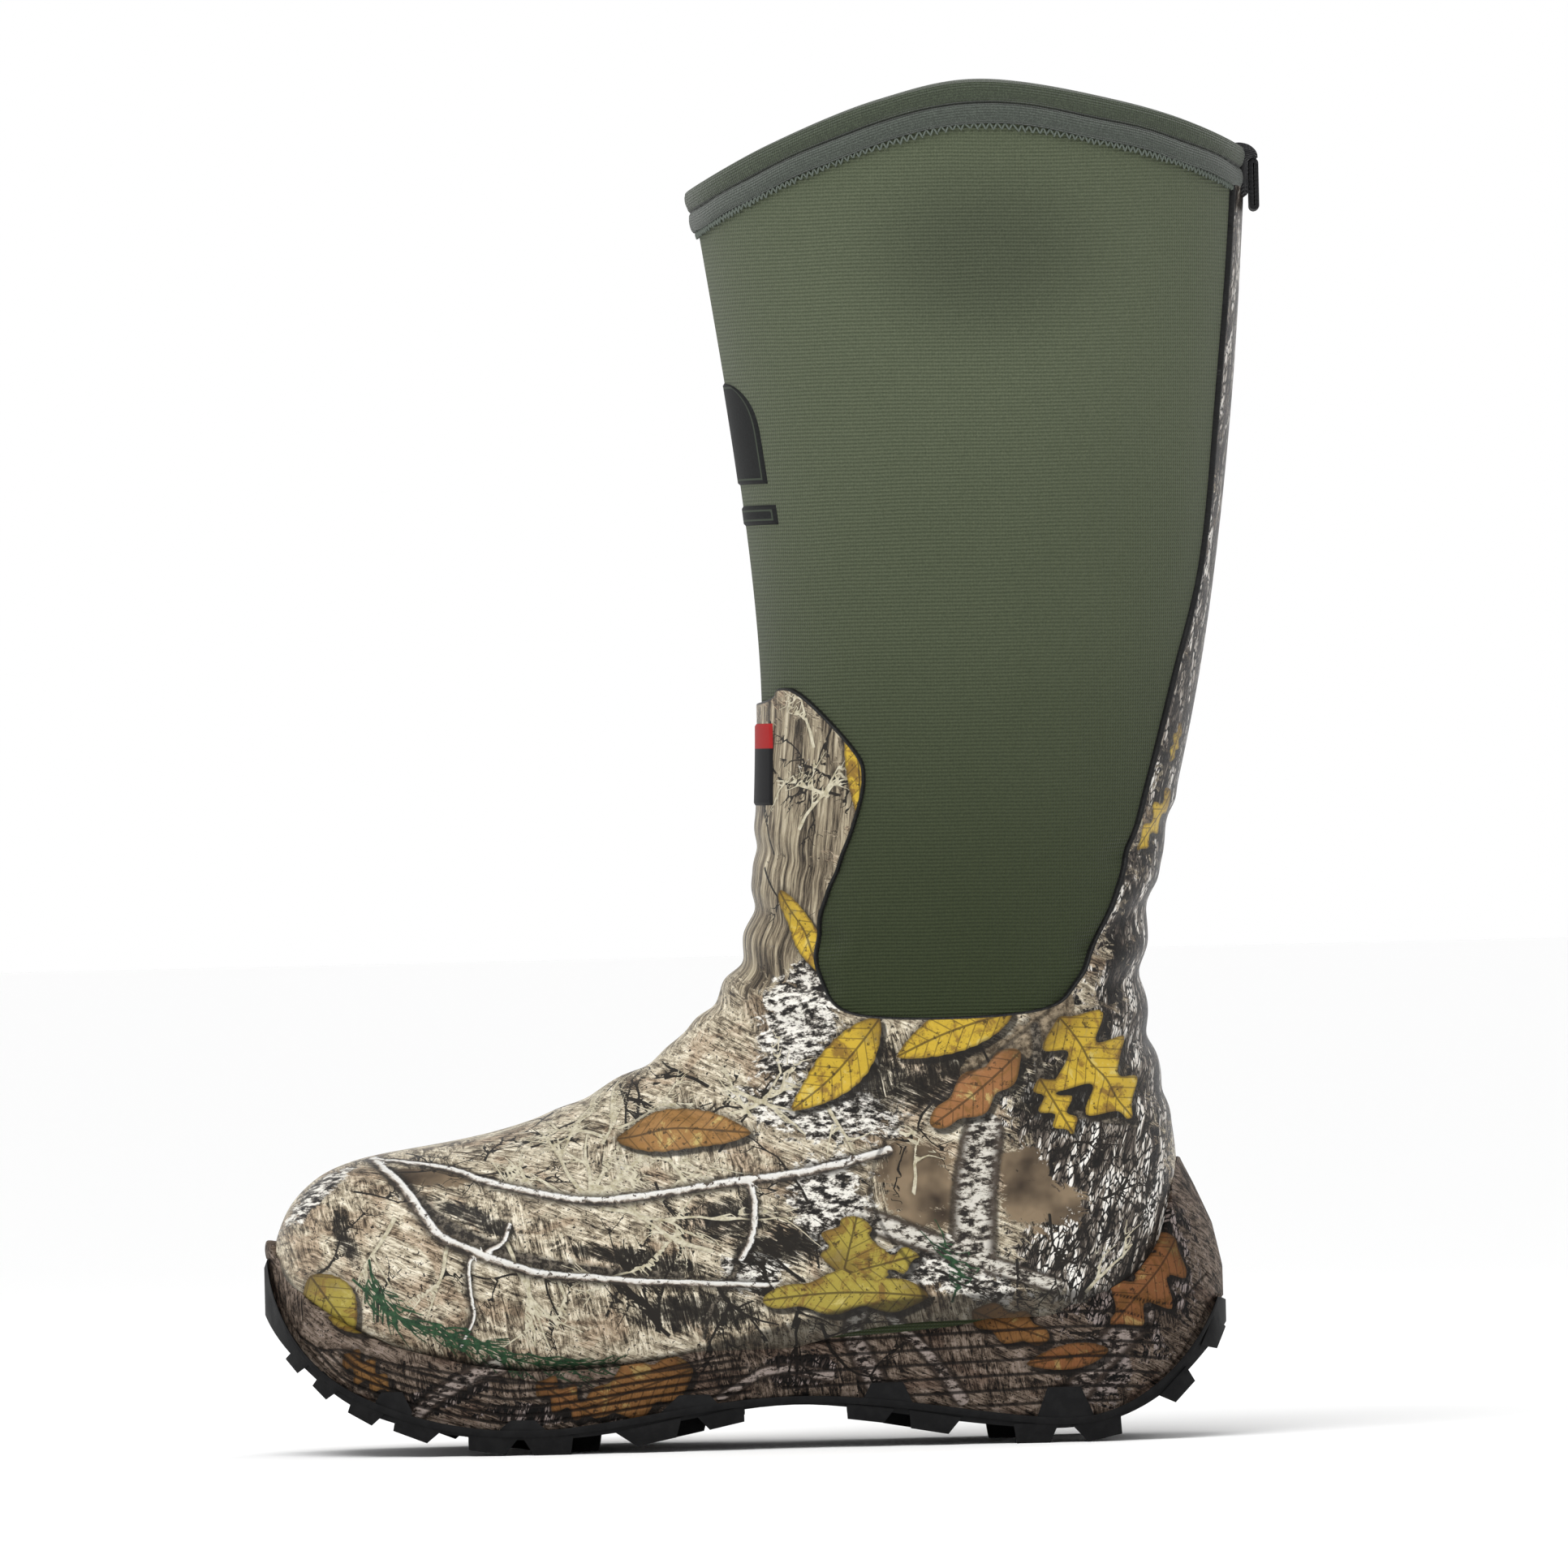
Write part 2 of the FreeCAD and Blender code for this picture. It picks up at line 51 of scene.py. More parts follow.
# ---- the boot's skin, as in the CAD source ----
# each section: front x, z, back x, z, half-width, place of its widest point, roundness in front and behind
FAN = np.array([
    (-27.5, 460, 168.6, 460, 61, 0.5, 2.1, 2.2), (-15.5, 383, 164.2, 383, 60, 0.5, 2.1, 2.2),
    (-7.3, 329, 159, 329, 58, 0.5, 2.1, 2.2), (-1.8, 275, 151.6, 275, 53.5, 0.5, 2.1, 2.2),
    (-0.5, 241, 145.2, 241, 50.5, 0.5, 2.1, 2.2), (-2.1, 208, 137.3, 208, 47, 0.5, 2.1, 2.2),
    (-3.4, 181, 130.2, 181, 44.5, 0.5, 2.1, 2.2), (-6.2, 166, 126.4, 163, 43.5, 0.51, 2, 2.2),
    (-11.6, 155, 125.2, 148, 43, 0.52, 2, 2.2), (-17.2, 148, 127, 133, 43, 0.53, 2, 2.3),
    (-22.3, 142.5, 132, 114.5, 43.5, 0.55, 2, 2.4), (-27.2, 137.6, 136, 91, 44, 0.57, 2, 2.7),
    (-32.4, 133.2, 134, 62, 44.5, 0.58, 2, 3.2), (-38, 129.3, 122, 35, 44.5, 0.6, 2, 3.6),
    (-44.4, 125.6, 94, 26.5, 45, 0.62, 2, 4), (-52, 121.6, 57, 26.5, 46.5, 0.64, 2, 4.2),
    (-61.5, 116.8, 19, 27, 49.5, 0.64, 2, 4.4), (-73.5, 111.4, -19, 24.5, 53, 0.63, 2.1, 4.6),
    (-88, 106.7, -54, 20.5, 55.5, 0.61, 2.2, 4.6), (-104, 103.4, -85, 20, 55.5, 0.6, 2.3, 4.5),
    (-120, 101, -112, 23, 52, 0.58, 2.3, 4), (-134.5, 98.6, -132, 29, 45, 0.56, 2.3, 3.4),
    (-147, 94.3, -146.5, 35.5, 36.5, 0.55, 2.2, 2.8), (-156.5, 86.8, -156.8, 42.5, 27, 0.54, 2.1, 2.4),
    (-162.6, 77.5, -163, 50, 16, 0.52, 2, 2.1)])
TOE = (-166.2, 62)
# how far the sections lie to the lateral or medial side, by x
LEAN = np.array([(-170, 7.5), (-110, 3.5), (-70, 0.5), (-10, -2.5), (60, -1), (140, 0)])
RING = 28  # control points round each section
TIP = 0.002  # how far short of the toe's tip the rows stop
GU, GV = 260, 336  # rows and columns of the unrolling tables

# side-view lines of (x, z)
COLLAR = [
    (-40, 404), (-17.3, 416.5), (9.1, 429.4), (43.6, 442.0), (78.7, 448.0), (124.6, 440.2), (157.7, 429.2),
    (190, 411)]
WINDOW = [
    (-3, 245.5), (5.8, 250.4), (14.5, 248), (30.5, 231), (34.6, 221), (31, 205), (20, 177), (18, 161),
    (22, 148), (33.5, 142.2), (65, 141.0), (93.5, 143.6), (103, 152), (114, 173), (126, 208), (138, 251),
    (148.3, 290), (154.8, 345), (160.6, 405), (165, 480)]
HEEL_SEAM = [(97, 143), (72, 124), (47, 107), (38, 96), (35, 84), (39, 72), (48, 59), (54, 40), (54, 20)]
FEATHER = [
    (-174, 80.0), (-165.5, 66.5), (-154.0, 51.5), (-133.8, 39.2), (-113.3, 33.0), (-82.5, 27.6),
    (-41.3, 29.6), (0, 38.6), (25.5, 44.8), (49, 47.6), (92.3, 48.9), (110.7, 49.2)]
RIM = [
    (-166.8, 65), (-163.5, 49.8), (-149, 28.7), (-134, 19.3), (-95.7, 8.9), (-72, 8.4), (-35, 13.3),
    (9.5, 17.3), (48, 14.0), (85, 8.9), (108, 9.2), (132.3, 23.2), (147.8, 46)]
KICKER = [(110.7, 49.2), (122, 55), (132, 65), (140, 78), (147, 89), (151, 92.5)]
# height and how far the wall leans back there
KICKER_BACK = [(46, 0.0), (56, 0.4), (70.5, 3.8), (84, 9.6), (92.5, 13.6)]
# plan of the sole, (x, y)
OUTLINE = [
    (-168.7, 7.5), (-163, -13), (-147, -36), (-120, -51.5), (-88, -59.0), (-62, -60), (-25, -56.5),
    (15, -51), (60, -48), (100, -47.5), (128, -39.5), (145, -22.5), (151.6, 0), (145, 22.5), (128, 39),
    (100, 46.5), (60, 44), (20, 44), (-15, 48.5), (-50, 56.5), (-85, 60.5), (-118, 57), (-146, 45.5),
    (-163, 27)]


# ---- curves and numbers ----
def step(a, b, x):
    """Smooth rise from 0 at a to 1 at b."""
    t = np.clip((np.asarray(x, float) - a) / (b - a), 0, 1)
    return t * t * (3 - 2 * t)


def read(table, x):
    """Second column of a table at x, read in its first column."""
    t = np.array(table, float)
    return np.interp(x, t[:, 0], t[:, 1])


def curve(points, closed=False, per=14):
    """Catmull-Rom polyline through the points."""
    p = np.array(points, float)
    n = len(p)
    before, after = (p[-1:], p[:2]) if closed else (2 * p[:1] - p[1:2], 2 * p[-1:] - p[-2:-1])
    ext = np.vstack([before, p, after])
    t = np.linspace(0, 1, per, endpoint=False)[:, None]
    out = []
    for i in range(n if closed else n - 1):
        a, b, c, d = ext[i:i + 4]
        cubic = (3 * b - a - 3 * c + d) * t**3
        out.append(0.5 * (2 * b + (c - a) * t + (2 * a - 5 * b + 4 * c - d) * t**2 + cubic))
    return np.vstack(out if closed else out + [p[-1:]])


def lengths(line):
    """Running length at each point of a line."""
    return np.concatenate([[0], np.cumsum(np.linalg.norm(np.diff(line, axis=0), axis=1))])


def grid(rows, columns, round_rows=False, round_columns=False, flip=False):
    """Quads of a grid of points numbered row by row, closed round either way."""
    i = np.arange(rows if round_rows else rows - 1)[:, None]
    j = np.arange(columns if round_columns else columns - 1)[None]
    k, l = (i + 1) % rows, (j + 1) % columns
    a, b, c, d = i * columns + j, k * columns + j, k * columns + l, i * columns + l
    return np.stack([a, d, c, b] if flip else [a, b, c, d], 2).reshape(-1, 4)


def segments(q, line, closed=False, chunk=4000):
    """Nearest place on a polyline for each 2-D point q: distance, signed side, length run so far."""
    a = line if closed else line[:-1]
    b = np.roll(line, -1, 0) if closed else line[1:]
    ab = b - a
    ll = np.maximum((ab**2).sum(1), 1e-12)
    length = np.sqrt(ll)
    start = np.concatenate([[0], np.cumsum(length)[:-1]])
    dist, side, run = (np.empty(len(q)) for _ in range(3))
    for s in range(0, len(q), chunk):
        p = q[s:s + chunk]
        ap = p[:, None] - a[None]
        t = np.clip((ap * ab).sum(2) / ll, 0, 1)
        d2 = ((ap - t[..., None] * ab)**2).sum(2)
        k = d2.argmin(1)
        i = np.arange(len(p))
        dist[s:s + chunk] = np.sqrt(d2[i, k])
        side[s:s + chunk] = (ab[k, 0] * ap[i, k, 1] - ab[k, 1] * ap[i, k, 0]) / length[k]
        run[s:s + chunk] = start[k] + t[i, k] * length[k]
    return dist, side, run


def inside(q, poly):
    """Whether each 2-D point lies in the closed polygon."""
    x, y = q[:, 0], q[:, 1]
    hit = np.zeros(len(q), bool)
    for (x0, y0), (x1, y1) in zip(poly, np.roll(poly, -1, 0)):
        if y0 != y1:
            hit ^= ((y0 > y) != (y1 > y)) & (x < (x1 - x0) * (y - y0) / (y1 - y0) + x0)
    return hit


def signed(q, poly):
    """Signed distance to a closed polygon, positive outside."""
    d = segments(q, poly, closed=True)[0]
    return np.where(inside(q, poly), -d, d)


# ---- the skin ----
def make_poles():
    """Control points: one ring for each section, and the toe's tip."""
    a = 2 * np.pi * (np.arange(RING) + 0.5) / RING
    c, s = np.cos(a)[None], np.sin(a)[None]
    fx, fz, bx, bz, half, wide, nf, nb = (FAN[:, k:k + 1] for k in range(8))
    cx, cz = fx + (bx - fx) * wide, fz + (bz - fz) * wide
    power = 2 / np.where(c > 0, nf, nb)
    reach = np.abs(c)**power
    ex, ez = np.where(c > 0, fx, bx), np.where(c > 0, fz, bz)
    x, z = cx + (ex - cx) * reach, cz + (ez - cz) * reach
    y = np.sign(s) * np.abs(s)**power * half + lean(x, z)
    tip = np.array([TOE[0], lean(*TOE), TOE[1]], float)
    return np.vstack([np.stack([x, y, z], 2), np.tile(tip, (1, RING, 1))])


def lean(x, z):
    """How far the sections lie to one side of the middle, mm."""
    return read(LEAN, x) * (1 - step(60, 120, z))


POLES = make_poles()
SPAN = len(POLES) - 3


def u_weights(u):
    """Cubic B-spline weights of the sections, clamped at both ends."""
    n = len(POLES)
    knots = np.concatenate([[0] * 3, np.arange(SPAN + 1), [SPAN] * 3]).astype(float)
    w = np.zeros((len(u), len(knots) - 1))
    w[np.arange(len(u)), np.clip(np.floor(u), 0, SPAN - 1).astype(int) + 3] = 1
    for d in (1, 2, 3):
        new = np.zeros((len(u), w.shape[1] - 1))
        for i in range(new.shape[1]):
            a, b = knots[i + d] - knots[i], knots[i + d + 1] - knots[i + 1]
            if a > 0:
                new[:, i] += (u - knots[i]) / a * w[:, i]
            if b > 0:
                new[:, i] += (knots[i + d + 1] - u) / b * w[:, i + 1]
        w = new
    return w[:, :n]


def v_weights(v):
    """Cubic B-spline weights round a section, closed."""
    k, t = np.floor(v).astype(int), v - np.floor(v)
    w = np.zeros((len(v), RING))
    i = np.arange(len(v))
    shares = ((1 - t)**3, 3 * t**3 - 6 * t**2 + 4, -3 * t**3 + 3 * t**2 + 3 * t + 1, t**3)
    for j, f in zip((-1, 0, 1, 2), shares):
        w[i, (k + j) % RING] += f / 6
    return w


def skin(u, v):
    """Points of the skin in mm, for arrays of u (0 at the top, SPAN at the toe) and v (round the section)."""
    u = np.clip(u, 0, SPAN)
    rows = (u_weights(u) @ POLES.reshape(len(POLES), -1)).reshape(len(u), RING, 3)
    return (rows * v_weights(v)[:, :, None]).sum(1)


def normals(u, v, e=0.02):
    """Outward unit normals of the skin."""
    du = skin(u + e, v) - skin(u - e, v)
    dv = skin(u, v + e) - skin(u, v - e)
    n = np.cross(du, dv)
    n /= np.linalg.norm(n, axis=1, keepdims=True) + 1e-9
    return -n


def u_stations(spacing):
    """u values whose rows are at most about spacing apart anywhere round the boot."""
    us = np.linspace(0, SPAN - TIP, 900)
    worst = np.zeros(len(us) - 1)
    for v in np.linspace(-0.5, 26.5, 16):
        p = skin(us, np.full(len(us), v))
        if 10 < v < 17:  # the sole side may be a little coarser
            p = p * [0.8, 1, 0.8]
        worst = np.maximum(worst, np.linalg.norm(np.diff(p, axis=0), axis=1))
    run = np.concatenate([[0], np.cumsum(worst)])
    count = int(math.ceil(run[-1] / spacing))
    return (SPAN - TIP) * np.interp(np.linspace(0, run[-1], count + 1), run, np.linspace(0, 1, len(run)))


def make_unroll():
    """Tables for the unrolled side view, which is stretched where the skin turns over to front and back."""
    us, vs = np.linspace(0, SPAN - TIP, GU), -0.5 + np.arange(GV + 1) * RING / GV
    p = skin(np.repeat(us, GV + 1), np.tile(vs, GU)).reshape(GU, GV + 1, 3)
    run = np.concatenate([np.zeros((GU, 1)), np.cumsum(np.linalg.norm(np.diff(p, axis=1), axis=2), 1)], 1)
    e = p[:, 0] - p[:, GV // 2]
    e = e[:, [0, 2]] / (np.linalg.norm(e[:, [0, 2]], axis=1, keepdims=True) + 1e-9)
    t = (p[..., 0] * e[:, :1]) + (p[..., 2] * e[:, 1:])
    extra = np.zeros((GU, GV + 1))
    q = GV // 4
    for wide, start, sign in ((q, 0, 1), (q, q, -1), (3 * q, 2 * q, -1), (3 * q, 3 * q, 1)):
        part = slice(start, start + q + 1)
        extra[:, part] = sign * (np.abs(run[:, part] - run[:, wide:wide + 1])
                                 - np.abs(t[:, part] - t[:, wide:wide + 1]))
    for end, other in ((0, GV), (2 * q, 2 * q)):
        mean = (extra[:, end] + extra[:, other]) / 2
        extra[:, end] = extra[:, other] = mean
    return us, vs, p, extra, e


UNROLL = make_unroll()


def bilinear(table, u, v):
    """Values of a (GU, GV + 1) table at any u and v."""
    a = np.clip(u / (SPAN - TIP) * (GU - 1), 0, GU - 1.001)
    b = ((v + 0.5) % RING) / RING * GV
    i, j = a.astype(int), np.minimum(b.astype(int), GV - 1)
    s, t = a - i, b - j
    if table.ndim == 3:
        s, t = s[:, None], t[:, None]
    return ((table[i, j] * (1 - t) + table[i, j + 1] * t) * (1 - s)
            + (table[i + 1, j] * (1 - t) + table[i + 1, j + 1] * t) * s)


def flat(u, v, p):
    """Unrolled coordinates of skin points p."""
    _, _, _, extra, e = UNROLL
    shift = e[:, None, :] * extra[..., None]
    return p[:, [0, 2]] + bilinear(shift, u, v)


def unroll(points):
    """Unrolled coordinates of side-view points on the lateral half."""
    _, _, p, extra, e = UNROLL
    half = slice(GV // 2, GV + 1)
    seen = p[:, half][:, :, [0, 2]].reshape(-1, 2)
    shift = (e[:, None, :] * extra[..., None])[:, half].reshape(-1, 2)
    out = []
    for q in np.atleast_2d(np.array(points, float)):
        near = ((seen - q)**2).sum(1).argmin()
        out.append(q + shift[near])
    return np.array(out)


# ---- patches of skin, clipped to lines drawn in side view ----
class Patch:
    """A grid of skin quads that can be clipped; corners keep their (u, v)."""

    def __init__(self, spacing, columns):
        us = u_stations(spacing)
        vs = -0.5 + np.arange(columns) * RING / columns
        self.uv = np.stack([np.repeat(us, columns), np.tile(vs, len(us))], 1)
        self.quads = grid(len(us), columns, round_columns=True)
        self.extra = []
        self.cut = []

    def points(self):
        return skin(self.uv[:, 0], self.uv[:, 1])

    def clip(self, field, mark=False):
        """Keeps the part where field, of side-view points, is positive; mark keeps the cut edge."""
        f = field(self.points()[:, [0, 2]])
        up = f > 0
        n = up[self.quads].sum(1)
        mixed = [list(q) for q in self.quads[(n > 0) & (n < 4)]] + self.extra
        self.quads = self.quads[n == 4]
        new_uv, made, out, edge = [], {}, [], []

        def between(a, b):
            key = (min(a, b), max(a, b))
            if key not in made:
                t = f[a] / (f[a] - f[b])
                va, vb = self.uv[a, 1], self.uv[b, 1]
                if vb - va > RING / 2:
                    vb -= RING
                if va - vb > RING / 2:
                    vb += RING
                made[key] = len(self.uv) + len(new_uv)
                new_uv.append((self.uv[a, 0] * (1 - t) + self.uv[b, 0] * t, va * (1 - t) + vb * t))
            return made[key]

        for poly in mixed:
            if all(up[c] for c in poly):
                out.append(poly)
                continue
            new = []
            for a, b in zip(poly, poly[1:] + poly[:1]):
                if up[a]:
                    new.append(a)
                if up[a] != up[b]:
                    new.append(between(a, b))
            if len(new) >= 3:
                out.append(new)
                made_set = [c for c in new if c >= len(self.uv)]
                if len(made_set) == 2 and mark:
                    i, j = new.index(made_set[0]), new.index(made_set[1])
                    edge.append((new[i], new[j]) if (i + 1) % len(new) == j else (new[j], new[i]))
        self.extra = out
        self.cut += edge
        if new_uv:
            self.uv = np.vstack([self.uv, new_uv])

    def tidy(self):
        """Drops unused corners."""
        used = np.zeros(len(self.uv), bool)
        used[self.quads.ravel()] = True
        for poly in self.extra:
            used[poly] = True
        index = np.cumsum(used) - 1
        self.uv = self.uv[used]
        self.quads = index[self.quads]
        self.extra = [[int(index[c]) for c in poly] for poly in self.extra]
        self.cut = [(int(index[a]), int(index[b])) for a, b in self.cut if used[a] and used[b]]


def build(name, verts, faces, material, attributes=None):
    """A mesh object from millimetre points."""
    mesh = bpy.data.meshes.new(name)
    mesh.from_pydata((np.asarray(verts) * MM).tolist(), [], [list(map(int, f)) for f in faces])
    for key, value in (attributes or {}).items():
        value = np.asarray(value, np.float32)
        kind = "FLOAT_VECTOR" if value.ndim == 2 else "FLOAT"
        layer = mesh.attributes.new(key, kind, "POINT")
        layer.data.foreach_set("vector" if value.ndim == 2 else "value", value.ravel())
    mesh.validate()
    mesh.polygons.foreach_set("use_smooth", [True] * len(mesh.polygons))
    mesh.materials.append(material)
    obj = bpy.data.objects.new(name, mesh)
    bpy.context.scene.collection.objects.link(obj)
    return obj


# ---- the woodland print, drawn in unrolled side coordinates ----
def leaf_shape(kind, base, tip, width, bend=0.0):
    """Closed outline and midrib frame of a leaf of its own generic design."""
    base, tip = np.array(base, float), np.array(tip, float)
    length = np.linalg.norm(tip - base)
    t = np.linspace(0, 1, 46 if kind == "long" else 64)
    if kind == "long":
        half = np.sin(np.pi * t**0.85)**0.8 * (1 + 0.07 * np.abs(np.sin(t * 30)))
        other = half
    elif kind == "oak":
        env = np.sin(np.pi * np.clip(t, 0, 1)**0.8)**0.6
        half = env * (0.66 + 0.34 * np.cos(2 * np.pi * (3.1 * t - 0.55)))
        other = env * (0.66 + 0.34 * np.cos(2 * np.pi * (3.1 * t - 0.3)))
    else:
        env = np.sin(np.pi * t**0.9)**0.55
        half = env * (0.6 + 0.4 * np.abs(np.cos(np.pi * 2.6 * (t - 0.2)))**1.6)
        other = env * (0.62 + 0.38 * np.abs(np.cos(np.pi * 2.4 * (t - 0.1)))**1.6)
    along = (tip - base) / length
    across = np.array([-along[1], along[0]])
    sway = bend * np.sin(np.pi * t)
    up = base + t[:, None] * length * along + (half * width / 2 + sway)[:, None] * across
    down = base + t[:, None] * length * along + (-other * width / 2 + sway)[:, None] * across
    return np.vstack([up, down[::-1][1:-1]]), base, along, across, length, bend


def sprout(rng, base, angle, length, width, depth, wander=0.35, fork=0.55):
    """A branching twig as (polyline, half-width at base, half-width at tip)."""
    n = max(4, int(length / 4))
    pts, a = [np.array(base, float)], angle
    for _ in range(n):
        a += rng.normal(0, wander) * 0.5
        pts.append(pts[-1] + length / n * np.array([math.cos(a), math.sin(a)]))
    lines = [(np.array(pts), width, width * 0.35)]
    if depth:
        for k in range(1 + int(rng.integers(1, 3))):
            i = int(rng.integers(1, n))
            side = 1 if (k + int(rng.integers(0, 2))) % 2 else -1
            turn, size = a + side * rng.uniform(0.7, 1.3) * fork, length * rng.uniform(0.4, 0.65)
            lines += sprout(rng, pts[i], turn, size, width * 0.62, depth - 1, wander, fork)
    return lines


def wild(rng, xs, zs, angles, size, width, wander=0.5):
    """A twig at a random place in a box, turned and sized at random."""
    base, angle = (rng.uniform(*xs), rng.uniform(*zs)), rng.uniform(*angles)
    return sprout(rng, base, angle, rng.uniform(*size) if isinstance(size, tuple) else size, width, 2, wander)


def needles(rng, line, length=9.0, width=0.36):
    """A conifer sprig: a stem with fine needles on both sides."""
    line = curve(line, per=3)
    out = [(line, width * 1.2, width * 0.7)]
    for i in range(1, len(line)):
        d = line[i] - line[i - 1]
        a = math.atan2(d[1], d[0])
        for side in (-1, 1):
            b = a + side * rng.uniform(0.35, 0.8)
            size = length * rng.uniform(0.5, 1.3)
            mid = line[i] + 0.5 * size * np.array([math.cos(b), math.sin(b)])
            c = b - side * 0.35
            end = mid + 0.5 * size * np.array([math.cos(c), math.sin(c)])
            out.append((np.array([line[i], mid, end]), width, width * 0.4))
    return out


def stroke_fields(q, lines, reach=5.0):
    """For each point the nearest stroke: place across it in half-widths, distance beyond its edge."""
    across, beyond = np.full(len(q), 9.0), np.full(len(q), reach)
    for line, w0, w1 in lines:
        lo, hi = line.min(0) - reach - w0, line.max(0) + reach + w0
        near = np.nonzero(((q > lo) & (q < hi)).all(1))[0]
        if not len(near):
            continue
        d, s, run = segments(q[near], line)
        w = w0 + (w1 - w0) * run / (run.max() + 1e-6)
        gap = d - w
        better = gap < beyond[near]
        near, d, s, w, gap = near[better], d[better], s[better], w[better], gap[better]
        across[near] = np.clip(s / w, -9, 9)
        beyond[near] = gap
    return across, beyond


def leaf_fields(q, leaves, reach=5.0):
    """For each point the top leaf: distance to its outline, place along and across it, colour number."""
    dist, la, lb, colour = np.full(len(q), reach), np.zeros(len(q)), np.full(len(q), 20.0), np.zeros(len(q))
    for kind, base, tip, width, bend, tone in leaves:
        poly, origin, along, across, length, bow = leaf_shape(kind, base, tip, width, bend)
        lo, hi = poly.min(0) - reach, poly.max(0) + reach
        near = np.nonzero(((q > lo) & (q < hi)).all(1))[0]
        if not len(near):
            continue
        d = signed(q[near], poly)
        better = (d < dist[near]) & ((d < 0) | (dist[near] > 0))
        near, d = near[better], d[better]
        dist[near] = d
        rel = q[near] - origin
        a = rel @ along
        la[near] = a
        lb[near] = rel @ across - bow * np.sin(np.pi * np.clip(a / length, 0, 1))
        colour[near] = tone
    return dist, la, lb, colour


def blob(q, spots):
    """Soft weight of ellipses given as centre x, z, radii, turn in degrees."""
    total = np.zeros(len(q))
    for x, z, rx, rz, turn in spots:
        c, s = math.cos(math.radians(turn)), math.sin(math.radians(turn))
        dx, dz = q[:, 0] - x, q[:, 1] - z
        r = np.sqrt(((dx * c + dz * s) / rx)**2 + ((-dx * s + dz * c) / rz)**2)
        total = np.maximum(total, 1 - step(0.3, 1.6, r))
    return total


# the print is laid out as lists of (points, half-width at the start, at the end), ellipses and leaves
YELLOW, OLIVE, RUST = 0.0, 0.33, 0.66
SHADOW = (-1.5, 1.7)
SPINE_BARK = [(130, 150, 46, 60, -5), (150, 250, 46, 90, -12), (164, 360, 40, 90, -4)]
SPINE_SHADE = [(146, 176, 22, 22, 0), (158, 268, 20, 34, -6), (166, 340, 16, 26, 0)]
SHIN_WOOD = [(6, 215, 38, 36, 0), (4, 176, 34, 26, 10)]


